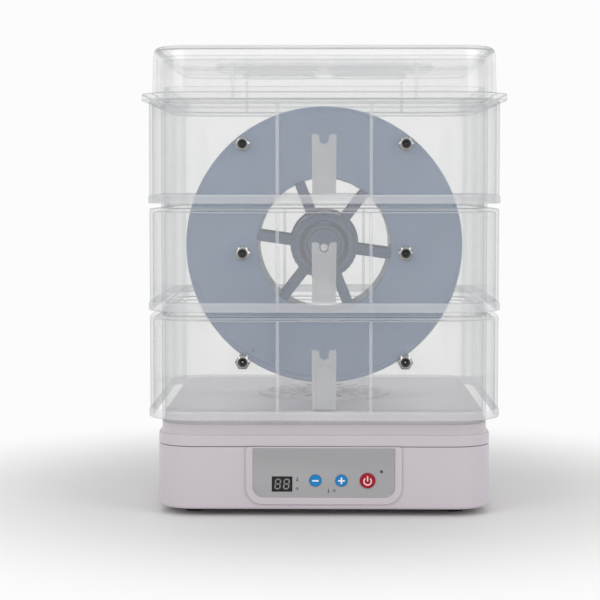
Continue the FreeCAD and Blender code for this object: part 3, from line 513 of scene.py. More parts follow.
def clear_finish(name, dark, light, veil, edge, tint, gloss=(0.1, 0.2), way=(30, 0.9)):
    """Clear plastic: a faint milky veil, darker where one looks along the wall, under a plain gloss."""
    material = finish(name, dark, light, gloss, scale=18, grain=400, bump=0.015)
    tree = material.node_tree
    nodes = tree.nodes
    facing = nodes.new("ShaderNodeLayerWeight")
    facing.inputs["Blend"].default_value = 0.5
    clear = nodes.new("ShaderNodeBsdfTransparent")
    clear.inputs["Color"].default_value = (*tint, 1)
    long_way = nodes.new("ShaderNodeBsdfTransparent")
    long_way.inputs["Color"].default_value = (0.5, 0.52, 0.55, 1)
    mirror = nodes.new("ShaderNodeBsdfGlossy")
    mirror.inputs["Roughness"].default_value = 0.07
    seen = clear.outputs["BSDF"]
    layers = (
        (*way, 0, long_way),
        (VEIL_POWER, edge - veil, veil, nodes["Principled BSDF"]),
        (GLOSS_POWER, GLOSS_GAIN, GLOSS_LEAST, mirror),
    )
    for power, gain, least, shader in layers:
        rise = maths(tree, "POWER", facing.outputs["Facing"], power)
        share = maths(tree, "ADD", maths(tree, "MULTIPLY", rise, gain), least)
        seen = blended(tree, share, seen, shader.outputs["BSDF"])
    tree.links.new(seen, nodes["Material Output"].inputs["Surface"])
    return material


WALL_TONES = ((0.76, 0.82, 0.9), (0.84, 0.89, 0.95))
WALL_TINT = (1, 0.998, 0.993)
LID_TONES = ((0.92, 0.94, 0.96), (0.96, 0.97, 0.98))
LID_TINT = (1, 0.999, 0.996)
CLEAR = clear_finish("clear_plastic", *WALL_TONES, 0.062, 0.4, WALL_TINT)
THIN = clear_finish("thin_plastic", *LID_TONES, 0.11, 0.4, LID_TINT)
STRIP = clear_finish("strip_plastic", (0.66, 0.67, 0.69), (0.71, 0.72, 0.74), 0.42, 0.6, WALL_TINT,
                     way=(4, 0.4))
THIN_BEND = clear_finish("thin_bend", *LID_TONES, 0.11, 0.35, LID_TINT, way=(4, 0.3))
EDGE = clear_finish("edge_plastic", (0.4, 0.41, 0.43), (0.47, 0.48, 0.5), 0.4, 0.6, WALL_TINT, way=(3, 0.7))
BEND = clear_finish("bend_plastic", *WALL_TONES, 0.062, 0.3, WALL_TINT, way=(3, 0.75))
WEB = clear_finish("web_plastic", (0.74, 0.77, 0.82), (0.82, 0.85, 0.9), 0.25, 0.7, (1, 0.996, 0.985))
MILKY = clear_finish("milky_plastic", (0.52, 0.52, 0.545), (0.58, 0.58, 0.6), 0.62, 0.9, (1, 0.99, 0.97),
                     gloss=(0.3, 0.4))
HOUSING = finish("housing_plastic", (0.552, 0.506, 0.547), (0.568, 0.522, 0.563), (0.3, 0.36), 14, 1400, 0.02,
                 coat=0.15)
SILVER = finish("overlay_silver", (0.335, 0.335, 0.345), (0.385, 0.385, 0.395), (0.36, 0.46), 60, 2500, 0.06,
                (0.05, 1, 1), metal=0.15)
BLACK_GLASS = finish("display_black", (0.008, 0.008, 0.01), (0.018, 0.018, 0.02), (0.2, 0.26), 40, 900, 0.005,
                     shine=0.25)
SEGMENT = finish("segment_grey", (0.2, 0.2, 0.195), (0.26, 0.26, 0.25), (0.4, 0.5), 300, 2000, 0.01)
KEY_BLUE = finish("key_blue", (0.008, 0.19, 0.5), (0.014, 0.23, 0.56), (0.4, 0.5), 120, 3000, 0.05, shine=0.2)
KEY_RED = finish("key_red", (0.3, 0.006, 0.018), (0.38, 0.01, 0.026), (0.4, 0.5), 120, 3000, 0.05, shine=0.2)
PRINT_WHITE = finish("print_white", (0.78, 0.8, 0.82), (0.86, 0.87, 0.88), (0.45, 0.55), 300, 3000, 0.02)
PRINT_PINK = finish("print_pink", (0.86, 0.62, 0.63), (0.92, 0.7, 0.7), (0.45, 0.55), 300, 3000, 0.02)
PRINT_GREY = finish("print_grey", (0.05, 0.05, 0.055), (0.08, 0.08, 0.085), (0.5, 0.6), 300, 3000, 0.02)
LENS = finish("indicator_lens", (0.05, 0.02, 0.02), (0.09, 0.04, 0.04), (0.12, 0.2), 200, 900, 0.01, coat=0.4)
BOARD = finish("circuit_board", (0.012, 0.09, 0.035), (0.02, 0.13, 0.05), (0.3, 0.45), 160, 1500, 0.08)
BLACK = finish("black_plastic", (0.018, 0.018, 0.02), (0.032, 0.032, 0.034), (0.35, 0.5), 60, 1600, 0.12)
GREY = finish("grey_plastic", (0.42, 0.43, 0.44), (0.48, 0.49, 0.5), (0.35, 0.5), 50, 1600, 0.1)
STEEL = finish("steel", (0.54, 0.54, 0.55), (0.59, 0.59, 0.6), (0.2, 0.27), 60, 1200, 0.02, (1, 0.1, 1),
               metal=1)
NICKEL = finish("nickel", (0.26, 0.255, 0.248), (0.38, 0.372, 0.36), (0.08, 0.18), 140, 1500, 0.03, metal=1)
ALUMINIUM = finish("fin_aluminium", (0.66, 0.67, 0.68), (0.76, 0.77, 0.78), (0.28, 0.4), 120, 1500, 0.05,
                   metal=1)
RUBBER = finish("foot_rubber", (0.018, 0.018, 0.018), (0.035, 0.034, 0.033), (0.7, 0.85), 120, 1800, 0.25)
SPOOL = finish("spool_plastic", (0.132, 0.192, 0.3), (0.158, 0.224, 0.342), (0.35, 0.45), 30, 1300, 0.05)
# A darker copy of the spool plastic for the hub, spokes, ribs, nut and drum: painted shade for these recessed
# parts
SPOOL_PAINTED_SHADE = finish("spool_painted_shade", (0.026, 0.048, 0.11), (0.04, 0.068, 0.14), (0.3, 0.42), 40, 1300, 0.02)

SLOT_FINISHES = {
    "clear_plastic": CLEAR, "milky_plastic": MILKY, "housing_plastic": HOUSING, "overlay_silver": SILVER,
    "display_black": BLACK_GLASS, "key_blue": KEY_BLUE, "key_red": KEY_RED, "indicator_lens": LENS,
    "circuit_board": BOARD, "black_plastic": BLACK, "grey_plastic": GREY, "steel": STEEL, "nickel": NICKEL,
    "fin_aluminium": ALUMINIUM, "foot_rubber": RUBBER, "spool_plastic": SPOOL,
}


def dress_nodes():
    """Give every CAD node the finish of its slot."""
    for subpart in frame["record"]["subparts"]:
        mesh = frame["nodes"][subpart["node"]].data
        mesh.materials.clear()
        mesh.materials.append(SLOT_FINISHES[subpart["material_slot"]])


# Geometry Nodes trees for what repeats

def repeat_tree(name, kind, sizes, facing_out=False):
    """A tree that sets copies of a piece on the points of a primitive, whose sizes are named inputs."""
    tree = bpy.data.node_groups.new(name, "GeometryNodeTree")
    socket(tree, "Geometry", "Geometry", "OUTPUT")
    socket(tree, "Piece", "Object")
    socket(tree, "Finish", "Material")
    nodes = tree.nodes
    given = nodes.new("NodeGroupInput")
    points = nodes.new(kind)
    for label, socket_kind, target in sizes:
        socket(tree, label, socket_kind)
        wire(tree, (given, label, points, target))
    source = nodes.new("GeometryNodeObjectInfo")
    copies = nodes.new("GeometryNodeInstanceOnPoints")
    if facing_out:
        place = nodes.new("GeometryNodeInputPosition")
        turn = nodes.new("FunctionNodeAlignRotationToVector")
        turn.axis = "X"
        turn.pivot_axis = "Z"
        wire(tree, (place, "Position", turn, "Vector"), (turn, "Rotation", copies, "Rotation"))
    real = nodes.new("GeometryNodeRealizeInstances")
    paint = nodes.new("GeometryNodeSetMaterial")
    result = nodes.new("NodeGroupOutput")
    wire(
        tree,
        (given, "Piece", source, "Object"), (points, 0, copies, "Points"),
        (source, "Geometry", copies, "Instance"), (copies, "Instances", real, "Geometry"),
        (real, "Geometry", paint, "Geometry"), (given, "Finish", paint, "Material"),
        (paint, "Geometry", result, "Geometry"),
    )
    return tree


ROW = repeat_tree("row_of_pieces", "GeometryNodeMeshLine", (
    ("Count", "Int", "Count"), ("First", "Vector", "Start Location"), ("Step", "Vector", "Offset"),
))
CORNERS = repeat_tree("piece_at_corners", "GeometryNodeMeshGrid", (
    ("Across", "Float", "Size X"), ("Along", "Float", "Size Y"),
    ("Columns", "Int", "Vertices X"), ("Rows", "Int", "Vertices Y"),
))
CIRCLE = repeat_tree("ring_of_pieces", "GeometryNodeMeshCircle", (
    ("Count", "Int", "Vertices"), ("Radius", "Float", "Radius"),
), facing_out=True)


def repeated(name, tree, source, material, **sizes):
    """The plain mesh of a tree's copies of a source piece, which is used up."""
    piece = add_object(name, bpy.data.meshes.new(name))
    maker = piece.modifiers.new("copies", "NODES")
    maker.node_group = tree
    values = {"Piece": source, "Finish": material, **sizes}
    for item in tree.interface.items_tree:
        if item.in_out == "INPUT":
            maker[item.identifier] = values[item.name]
    plain_mesh(piece)
    bpy.data.objects.remove(source)
    smooth(piece)
    return piece


def joined(piece, others):
    """Add the meshes of other pieces to a piece."""
    piece.modifiers.clear()
    bm = bmesh.new()
    bm.from_mesh(piece.data)
    for other in others:
        bm.from_mesh(other.data)
        bpy.data.objects.remove(other)
    bm.to_mesh(piece.data)
    bm.free()
    smooth(piece)


# The clear trays and lid

def tray_profile(low):
    """The section through a tray's two walls, shoulder, lip and spigot."""
    top = low + TRAY_HEIGHT
    shoulder = top - OUTER_WALL
    mouth = SPIGOT_INSET + INNER_WALL
    return soften((
        (-LIP_PROUD, low, 0.7), (-LIP_PROUD, low + LIP_HEIGHT, 0.6), (0, low + LIP_HEIGHT + 1, 0.6),
        (0, top, 1.2), (SPIGOT_INSET, top, 0.4), (SPIGOT_INSET, top + SPIGOT_HEIGHT, 0.7),
        (mouth, top + SPIGOT_HEIGHT, 0.7), (mouth, shoulder, 0.3), (CHAMBER_INSET, shoulder, 0.3),
        (CHAMBER_INSET, low - TRAY_GAP, 0.7), (INNER_INSET, low - TRAY_GAP, 0.7),
        (INNER_INSET, shoulder, 0.8), (OUTER_WALL, shoulder, 0.8), (OUTER_WALL, low, 0.7),
    ))


def block(width, depth, height, edge=0.35):
    """A block with softened edges, centred on the origin and standing on it."""
    bm = bmesh.new()
    bmesh.ops.create_cube(bm, size=1)
    bmesh.ops.scale(bm, vec=Vector((width, depth, height)) * MM, verts=bm.verts)
    bmesh.ops.translate(bm, vec=Vector((0, 0, height / 2)) * MM, verts=bm.verts)
    bevel(bm, bm.edges[:], edge)
    return piece_from(bm, "block", WEB)


def webs(place, outer_inset, low, height):
    """Upright plates between the two walls, front and rear."""
    start = INNER_INSET - CLEAR_GAP
    end = outer_inset + OUTER_WALL + CLEAR_GAP
    plates = repeated("webs", CORNERS, block(WEB_THICK, start - end, height), WEB,
                      Across=2 * place * MM, Along=(2 * FRONT - start - end) * MM, Columns=2, Rows=2)
    plates.data.transform(Matrix.Translation((0, 0, low * MM)))
    return plates


def make_tray(name, low):
    """One tray: swept walls with drilled outlets, and webs between the walls."""
    bm = bmesh.new()
    skin(bm, [ring(inset, z) for inset, z in tray_profile(low)], closed=True, edge_step=EDGE_STEP)
    tray = piece_from(bm, f"{name}_tray_shell", CLEAR, STRIP, BEND)
    level = low + OUTLET_HEIGHT
    hole = BARREL_RADIUS + 0.2
    drill(tray, [bore(side * OUTLET_PLACE, level, hole, -FRONT - 2, -FRONT + 14) for side in SIGNS])
    keep(tray, f"{name}_tray", "clear_plastic", f"{name}_tray")
    plates = webs(WEB_PLACE, 0, low + 0.5, TRAY_HEIGHT - OUTER_WALL - 0.6)
    plates.name = f"{name}_tray_webs"
    keep(plates, f"{name}_tray", "clear_plastic")


def lid_profile():
    """The section through the lid's rim, from the chamber's roof outwards and back to the deck."""
    top = LID_LOW + LID_HEIGHT
    roof = LID_LOW + LID_DECK - LID_SHEET
    outer = LID_INSET + LID_DRAFT
    channel = LID_INSET + OUTER_WALL
    return soften((
        (CHAMBER_INSET + 3, roof, 0), (CHAMBER_INSET, roof, 1),
        (CHAMBER_INSET, LID_LOW, 0.6), (INNER_INSET, LID_LOW, 0.6), (INNER_INSET, top - OUTER_WALL, 0.8),
        (channel + LID_DRAFT, top - OUTER_WALL, 3.5), (channel, LID_LOW, 0.6),
        (-FLANGE_PROUD, LID_LOW, 0.8), (-FLANGE_PROUD, LID_LOW + FLANGE_THICK, 0.8),
        (LID_INSET, LID_LOW + FLANGE_THICK, 0.8), (outer, top, LID_EDGE), (CHAMBER_INSET, top, 0),
        (CHAMBER_INSET, LID_LOW + LID_DECK, 0.8), (CHAMBER_INSET + 4, LID_LOW + LID_DECK, 0),
    ), closed=False)


def sunk(shape, low, drop, grow, x=0.0, edge=1.2):
    """Loops that go down into a hollow of the lid's deck, from its edge to its floor."""
    half_x, half_y, corner = (size + grow for size in shape)
    slope = drop * 0.6
    wall = ((half_x + edge, low + drop, 0), (half_x, low + drop, edge), (half_x - slope, low, edge),
            (half_x - slope - edge - 1, low, 0))
    loops = []
    for across, up in soften(wall, closed=False):
        inset = half_x - across
        loops.append(rounded(across, half_y - inset, max(corner - inset, 1), up, x))
    return loops


def fill_between(bm, outer, inners):
    """Fill a flat loop that has other loops as holes in it."""
    bmesh.ops.triangle_fill(bm, use_beauty=True, edges=edges_of([outer, *inners]))


def make_lid():
    """The lid: rim, deck, sunk pan and two finger pockets, as one closed shell with an even thickness."""
    bm = bmesh.new()
    deck = LID_LOW + LID_DECK
    rim = skin(bm, [ring(inset, z) for inset, z in lid_profile()], edge_step=LID_EDGE_STEP)
    for grow, drop, edge_row in ((0, 0, rim[-1]), (LID_SHEET, LID_SHEET, rim[0])):
        pan = skin(bm, sunk(PAN, deck - PAN_DROP - drop, PAN_DROP, grow), edge_step=LID_EDGE_STEP)
        fill_between(bm, edge_row, [pan[0]])
        pockets = []
        for side in SIGNS:
            floor = deck - PAN_DROP - FINGER_DROP - drop
            loops = sunk(FINGER, floor, FINGER_DROP, grow, side * FINGER_PLACE, edge=2)
            pocket = skin(bm, loops, edge_step=LID_EDGE_STEP)
            bm.faces.new(pocket[-1])
            pockets.append(pocket[0])
        fill_between(bm, pan[-1], pockets)
    lid = piece_from(bm, "lid_shell", THIN, EDGE, THIN_BEND)
    keep(lid, "lid", "clear_plastic", "lid")
    plates = webs(LID_WEB_PLACE, LID_INSET + LID_DRAFT, LID_LOW + 0.5, LID_DECK - LID_SHEET - 3)
    plates.name = "lid_webs"
    keep(plates, "lid", "clear_plastic")


# The base

def make_base_body():
    """The lower housing: a tub with a soft lower edge and a shadow gap at its rim."""
    rim = SEAM - SEAM_GAP
    wall = soften((
        (BASE_INSET + BASE_WALL + 3, FLOOR_TOP, 0), (BASE_INSET + BASE_WALL, FLOOR_TOP, 1.5),
        (BASE_INSET + BASE_WALL, rim, 0.4), (BASE_INSET, rim, 0.7), (BASE_INSET, FOOT_HEIGHT, 2.4),
        (BASE_INSET + 6, FOOT_HEIGHT, 0),
    ), closed=False)
    bm = bmesh.new()
    loops = [circle(INTAKE_RADIUS, FLOOR_TOP)] + [ring(inset, z) for inset, z in wall]
    loops.append(circle(INTAKE_RADIUS, FOOT_HEIGHT))
    skin(bm, loops, closed=True)
    body = piece_from(bm, "base_housing", HOUSING)
    holes = [bore(x, z, radius, -PANEL_FACE - 1, -PANEL_FACE + BASE_WALL + 1) for x, z, radius in PANEL_HOLES]
    holes.append(display_cutter())
    holes.append(bore(GLAND_PLACE, GLAND_LEVEL, GLAND_HOLE, PANEL_FACE - BASE_WALL - 1, PANEL_FACE + 1))
    drill(body, holes)
    keep(body, "base", "housing_plastic", "base_body")


def display_cutter():
    """A cutter for the display's window."""
    low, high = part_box("display_module")
    clear = 0.2
    left, right = low.x / MM - clear, high.x / MM + clear
    bottom, top = low.z / MM - clear, high.z / MM + clear
    points = [(left, bottom), (right, bottom), (right, top), (left, top)]
    return cutter("window", lambda bm: prism(bm, points, -PANEL_FACE - 1, -PANEL_FACE + BASE_WALL + 1))


def make_base_cover():
    """The top cover: band, collar, spigot and deck with its vent, and the lip inside the tub."""
    sheet = 2.4
    lip = BASE_INSET + BASE_WALL + 0.2
    section = soften((
        (SPIGOT_INSET + sheet + 4, DECK_UNDER, 0), (SPIGOT_INSET + sheet, DECK_UNDER, 1.5),
        (SPIGOT_INSET + sheet, BAND_TOP - sheet, 1), (lip + sheet, BAND_TOP - sheet, 0.5),
        (lip + sheet, SEAM - 4, 0.5), (lip, SEAM - 4, 0.5), (lip, SEAM, 0.3), (BASE_INSET, SEAM, 0.7),
        (BASE_INSET, BAND_TOP, 2), (INNER_INSET, BAND_TOP, 0.8), (INNER_INSET, COLLAR_TOP, 0.8),
        (SPIGOT_INSET, COLLAR_TOP, 0.6), (SPIGOT_INSET, DECK_TOP, 4), (SPIGOT_INSET + 10, DECK_TOP, 0),
    ), closed=False)
    bm = bmesh.new()
    loops = [circle(VENT_RADIUS, DECK_UNDER)] + [ring(inset, z) for inset, z in section]
    loops.append(circle(VENT_RADIUS, DECK_TOP))
    skin(bm, loops, closed=True)
    cover = piece_from(bm, "base_cover", HOUSING)
    keep(cover, "base", "housing_plastic", "base_top_cover")


# Posts and outlets in the trays

def arc(x, z, radius, first, last, steps=16):
    """Points of an upright arc between two angles in degrees."""
    turns = [math.radians(first + (last - first) * step / steps) for step in range(steps + 1)]
    return [(x + radius * math.cos(turn), z + radius * math.sin(turn)) for turn in turns]


def post_outline():
    """A post with a flared mouth that leads into the round seat of the axle."""
    half, foot, top = POST_WIDTH / 2, 6.5, 48
    seat = AXLE_RADIUS + 0.2
    mouth = seat + 1.4
    notch = arc(0, SEAT_HEIGHT, seat, 0, -180)
    right = [(half - 0.3, foot), (half, top), (mouth, top), (seat, top - 1.8)]
    left = [(-seat, top - 1.8), (-mouth, top), (-half, top), (-half + 0.3, foot)]
    return right + notch + left


def make_posts(name, low):
    """The front and rear post of a tray, each with a sunk face between two ribs."""
    place = FRONT - CHAMBER_INSET - CLEAR_GAP - POST_DEPTH / 2
    face = -POST_DEPTH / 2
    post = plate("post", MILKY, [post_outline()], face, -face, 0.5)
    half = POST_WIDTH / 2 - 2.4
    hollow = [(-half, 9), (half, 9), (half, 38), (-half, 38)]
    drill(post, [cutter("hollow", lambda bm: prism(bm, hollow, -POST_DEPTH, face + 1.2))])
    posts = repeated(f"{name}_posts", ROW, post, MILKY, Count=2, First=(0, -place * MM, low * MM),
                     Step=(0, 2 * place * MM, 0))
    keep(posts, f"{name}_tray", "milky_plastic", f"{name}_tray_posts")


def fitting_profile():
    """A hexagonal outlet fitting from its socket round the head to the end of its threaded barrel."""
    end = 20.3
    barrel = BARREL_RADIUS
    head = 4 - CLEAR_GAP
    profile = [(2.2, end - 0.4), (2.2, 3), (2.5, 3), (2.5, 0.4), (2.9, 0), (3.6, 0), (4, 0.2),
               (4.7, 0.9, hexagon), (4.7, head - 0.4, hexagon), (barrel, head)]
    along = 14.4
    while along < end - 1:
        profile += [(barrel, along), (barrel - 0.35, along + 0.4)]
        along += 0.8
    return profile + [(barrel - 0.4, end), (2.5, end)]


def locknut_profile():
    """A thin hexagonal nut on the barrel of a fitting."""
    inside = BARREL_RADIUS + 0.02
    return [(inside, 0.3), (inside, 3.7), (3.8, 4), (4.1, 4), (4.4, 3.6, hexagon), (4.4, 0.4, hexagon),
            (4.1, 0), (3.8, 0)]


def make_outlets(name, low):
    """The two outlet fittings of a tray with their collets, and the locknuts that hold them."""
    level = low + OUTLET_HEIGHT
    wall = FRONT - CHAMBER_INSET - CLEAR_GAP
    pieces = (
        ("fittings", NICKEL, "nickel", fitting_profile(), OUTLET_FACE, [f"{name}_outlet_fittings"]),
        ("collets", BLACK, "black_plastic", COLLET, OUTLET_FACE, []),
        ("locknuts", NICKEL, "nickel", locknut_profile(), wall, [f"{name}_outlet_locknuts"]),
    )
    for label, material, slot, profile, front, nodes in pieces:
        first = (-OUTLET_PLACE * MM, -front * MM, level * MM)
        pair = repeated(f"{name}_{label}", ROW, turned(label, material, profile), material, Count=2,
                        First=first, Step=(2 * OUTLET_PLACE * MM, 0, 0))
        keep(pair, f"{name}_tray", slot, *nodes)


# The control panel

def panel_outline(half, low, high, corner_low, corner_high):
    """An upright rounded outline whose lower and upper corners differ."""
    return (arc(half - corner_high, high - corner_high, corner_high, 0, 90, 8)
            + arc(-half + corner_high, high - corner_high, corner_high, 90, 180, 8)
            + arc(-half + corner_low, low + corner_low, corner_low, 180, 270, 8)
            + arc(half - corner_low, low + corner_low, corner_low, 270, 360, 8))


def make_frame():
    """The raised rim round the overlay, with a fine shadow line where it meets the housing."""
    bm = bmesh.new()
    section = soften((
        (0.1, 0, 0), (0.1, 1.2, 0.45), (5, 1.2, 0.6), (5, 0.5, 0.1), (4.3, 0.4, 0.1), (4.3, 0, 0),
    ))
    low_corner, high_corner = PANEL_CORNERS
    loops = []
    for out, proud in section:
        above = out / 5
        outline = panel_outline(PANEL_HALF + out, PANEL_LOW - out, PANEL_TOP + above, low_corner + out,
                                high_corner + above)
        loops.append([Vector((x, -PANEL_FACE - proud, z)) for x, z in outline])
    skin(bm, loops, closed=True)
    keep(piece_from(bm, "panel_rim", HOUSING), "base", "housing_plastic", "panel_frame")


def make_overlay():
    """The silver sheet of the panel, with its holes for the keys, the light and the display."""
    face = -PANEL_FACE - OVERLAY_SHEET
    outline = panel_outline(PANEL_HALF, PANEL_LOW, PANEL_TOP, *PANEL_CORNERS)
    overlay = plate("panel_sheet", SILVER, [outline], face, -PANEL_FACE)
    holes = [bore(x, z, radius, face - 1, -PANEL_FACE + 1) for x, z, radius in PANEL_HOLES]
    drill(overlay, holes + [display_cutter()])
    keep(overlay, "base", "overlay_silver", "panel_overlay")


def bar(x, z, width, height):
    """A plain upright rectangle about a point."""
    return [(x - width / 2, z - height / 2), (x + width / 2, z - height / 2),
            (x + width / 2, z + height / 2), (x - width / 2, z + height / 2)]


def cross(x, z, length, width):
    """A plus sign about a point."""
    far, near = length / 2, width / 2
    corners = ((far, -near), (far, near), (near, near), (near, far), (-near, far), (-near, near),
               (-far, near), (-far, -near), (-near, -near), (-near, -far), (near, -far), (near, -near))
    return [(x + a, z + b) for a, b in corners]


def open_ring(x, z, radius, width, gap):
    """A ring that is open at the top by an angle in degrees."""
    first, last = 90 + gap / 2, 450 - gap / 2
    return arc(x, z, radius, first, last, 40) + arc(x, z, radius - width, last, first, 40)


def make_key(name, slot, x, radius, print_material, sign):
    """A domed key with a collar behind the housing wall, and the sign printed on its face."""
    depth = 5.5
    collar = radius + 1.2
    corners = ((0, 0, 0), (radius * 0.7, 0.02, 2), (radius, 0.25, 0.3), (radius, depth - 1, 0.1))
    face = soften(corners, closed=False)
    profile = face + [(collar, depth - 1), (collar, depth), (0, depth)]
    front = -PANEL_FACE - 1.7
    place = (x, front, KEY_LEVEL)
    key = turned(f"{name}_cap", SLOT_FINISHES[slot], profile, place, closed=False, count=64)
    keep(key, name, slot, name)
    mark = plate(f"{name}_sign", print_material, sign(x, KEY_LEVEL), front - 0.12, front + 0.3, 0.04)
    keep(mark, name, "housing_plastic")


def minus_sign(x, z):
    """The bar on the minus key."""
    return [bar(x, z, 4.4, 1.1)]


def plus_sign(x, z):
    """The cross on the plus key."""
    return [cross(x, z, 4.6, 1.1)]


def power_sign(x, z):
    """The open ring and bar on the power key."""
    return [open_ring(x, z - 0.3, 3, 0.85, 80), bar(x, z + 1.5, 0.9, 3.6)]


def make_keys():
    """The minus, plus and power keys."""
    make_key("minus_key", "key_blue", MINUS_PLACE, SMALL_KEY, PRINT_WHITE, minus_sign)
    make_key("plus_key", "key_blue", PLUS_PLACE, SMALL_KEY, PRINT_WHITE, plus_sign)
    make_key("power_key", "key_red", POWER_PLACE, LARGE_KEY, PRINT_PINK, power_sign)


def digit_segments():
    """The seven strokes of a digit as hexagonal bars."""
    wide, tall, stroke = 3.4, 6.6, 0.95
    half = stroke / 2
    strokes = []
    for level in (-tall / 2, 0, tall / 2):
        reach = wide / 2 - 0.15
        strokes.append([(-reach, level), (-reach + half, level - half), (reach - half, level - half),
                        (reach, level), (reach - half, level + half), (-reach + half, level + half)])
    for side in SIGNS:
        for foot in (-tall / 2, 0):
            low, high = foot + 0.15, foot + tall / 2 - 0.15
            x = side * wide / 2
            strokes.append([(x, low), (x + half, low + half), (x + half, high - half), (x, high),
                            (x - half, high - half), (x - half, low + half)])
    slant = 0.1
    return [[(x + slant * z, z) for x, z in outline] for outline in strokes]


def make_display():
    """The display's dark window with two unlit digits in it."""
    low, high = (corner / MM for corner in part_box("display_module"))
    middle = (low + high) / 2
    half_x, half_z = (high.x - low.x) / 2, (high.z - low.z) / 2
    bm = bmesh.new()
    prism(bm, bar(middle.x, middle.z, 2 * half_x, 2 * half_z), low.y, high.y)
    bevel(bm, bm.edges[:], 0.3)
    keep(piece_from(bm, "display_window", BLACK_GLASS), "base", "display_black", "display_module")
    pitch = 6
    digit = plate("digit", SEGMENT, digit_segments(), -0.05, 0.15)
    digits = repeated("display_digits", ROW, digit, SEGMENT, Count=2, Step=(pitch * MM, 0, 0),
                      First=((middle.x - pitch / 2) * MM, low.y * MM, middle.z * MM))
    keep(digits, "base", "overlay_silver")


def make_light_lens():
    """The indicator's small domed lens on its stem."""
    length = 10.8
    corners = ((0, 0, 0), (LIGHT_RADIUS, 0.1, 0.7), (LIGHT_RADIUS, length, 0), (0, length, 0))
    dome = soften(corners, closed=False)
    x, z = LIGHT_PLACE
    place = (x, -PANEL_FACE - OVERLAY_SHEET, z)
    lens = turned("indicator_dome", LENS, dome, place, closed=False, count=24)
    keep(lens, "base", "indicator_lens", "indicator_light")


def make_pictograms():
    """Small printed signs beside the display and under the keys: a thermometer and a clock face."""
    face = -PANEL_FACE - OVERLAY_SHEET
    thermometers = ((-18.6, 26.6, 1), (3.2, 18.6, 1))
    clocks = ((-18.6, 19.8, 1.05), (7.2, 18.5, 1.05))
    outlines = []
    for x, z, size in thermometers:
        outlines.append(arc(x, z - size, 0.6 * size, 0, 337.5, 15))
        outlines.append(bar(x, z + 0.35 * size, 0.55 * size, 2 * size))
    for x, z, size in clocks:
        outlines.append(open_ring(x, z, size, 0.3, 4))
        outlines.append(bar(x, z + size / 3, 0.3, size * 0.7))
        outlines.append(bar(x + size / 4, z, size * 0.6, 0.3))
    signs = plate("panel_signs", PRINT_GREY, outlines, face - 0.04, face + 0.1)
    keep(signs, "base", "display_black")


# Feet, gland and axle

def make_feet():
    """Four rubber feet with a soft lower edge and a ring groove."""
    foot = soften((
        (0, 0.3, 0), (4.5, 0.3, 0.2), (4.7, 0, 0.2), (7.2, 0, 0.8), (8, 4.4, 0.4), (7.6, 5, 0.2),
        (2.5, 5, 0.2), (2.5, 9, 0.6), (0, 9, 0),
    ), closed=False)
    piece = turned("foot", RUBBER, foot, upright=True, closed=False, count=40)
    across, along = (2 * place * MM for place in FOOT_PLACE)
    feet = repeated("feet", CORNERS, piece, RUBBER, Across=across, Along=along, Columns=2, Rows=2)
    keep(feet, "base", "foot_rubber", "rubber_feet")


def make_gland():
    """The cord's gland at the rear: a flange and a tapered nose with grip rings."""
    bore_radius = 3.2
    section = [(bore_radius, 0.5), (bore_radius, 13.6), (6, 13.6), (6, 6.9), (8.5, 6.6), (8.5, 4.3), (8.1, 4)]
    for along in (3.6, 2.4, 1.2):
        section += [(4.6 + 0.35 * along, along), (4.2 + 0.35 * along, along - 0.5)]
    section += [(4.4, 0.1), (3.6, 0)]
    mirrored = [(radius, -along) for radius, along in section]
    gland = turned("gland", BLACK, mirrored, (GLAND_PLACE, PANEL_FACE + 7, GLAND_LEVEL))
    keep(gland, "base", "black_plastic", "cord_gland")


def make_axle():
    """The axle, with a small chamfer and centre mark at each end."""
    half = 106
    ends = [(0, -half + 0.8), (0.9, -half), (2.3, -half), (AXLE_RADIUS, -half + 0.7)]
    profile = ends + [(radius, -along) for radius, along in reversed(ends)]
    axle = turned("axle_rod", STEEL, profile, (0, 0, AXLE_LEVEL), closed=False, count=40)
    keep(axle, "middle_tray", "steel", "spool_axle")


# The spool

def make_flange(name, front, outer_face):
    """One side of the spool: a ring with a grooved rim and two end holes, and its spokes."""
    low, high = (0, SPOOL_SIDE) if outer_face < 0 else (SPOOL_SIDE, 0)
    groove = low - 0.4 * outer_face
    ring_section = soften((
        (WINDOW_RADIUS, low, 0.6), (95.5, low, 0.2), (96, groove, 0.2), (97.6, groove, 0.2), (98, low, 0.3),
        (SPOOL_RADIUS, low, 0.9), (SPOOL_RADIUS, high, 0.9), (WINDOW_RADIUS, high, 0.6),
    ))
    place = (0, front, AXLE_LEVEL)
    disc = turned(f"{name}_disc", SPOOL, ring_section, place, count=128)
    holes = []
    for turn in map(math.radians, END_HOLE_ANGLES):
        x, z = END_HOLE_REACH * math.cos(turn), AXLE_LEVEL + END_HOLE_REACH * math.sin(turn)
        holes.append(bore(x, z, END_HOLE_RADIUS, front - 1, front + SPOOL_SIDE + 1))
    drill(disc, holes)
    keep(disc, "spool", "spool_plastic", f"spool_{name}")
    make_spokes(name, front, place)


def make_spokes(name, front, place):
    """The hub ring of a spool's side and its six spokes."""
    inner, outer = HUB_RING
    hub = soften(((inner, 0, 0.5), (outer, 0, 0.5), (outer, SPOOL_SIDE, 0.5), (inner, SPOOL_SIDE, 0.5)))
    # The hub ring and spokes take the darker spool plastic, as painted shade
    collar = turned(f"{name}_collar", SPOOL_PAINTED_SHADE, hub, place, count=72)
    spoke = block(*SPOKE_SIZE, SPOOL_SIDE, 0.6)
    spokes = repeated(f"{name}_spokes", CIRCLE, spoke, SPOOL_PAINTED_SHADE, Count=6, Radius=SPOKE_REACH * MM)
    upright = Matrix.Rotation(math.radians(90), 4, "X")
    turn = Matrix.Rotation(math.radians(SPOKE_TURN), 4, "Y")
    middle = Vector((0, front + SPOOL_SIDE, AXLE_LEVEL)) * MM
    spokes.data.transform(Matrix.Translation(middle) @ turn @ upright)
    joined(collar, [spokes])
    keep(collar, "spool", "spool_plastic")


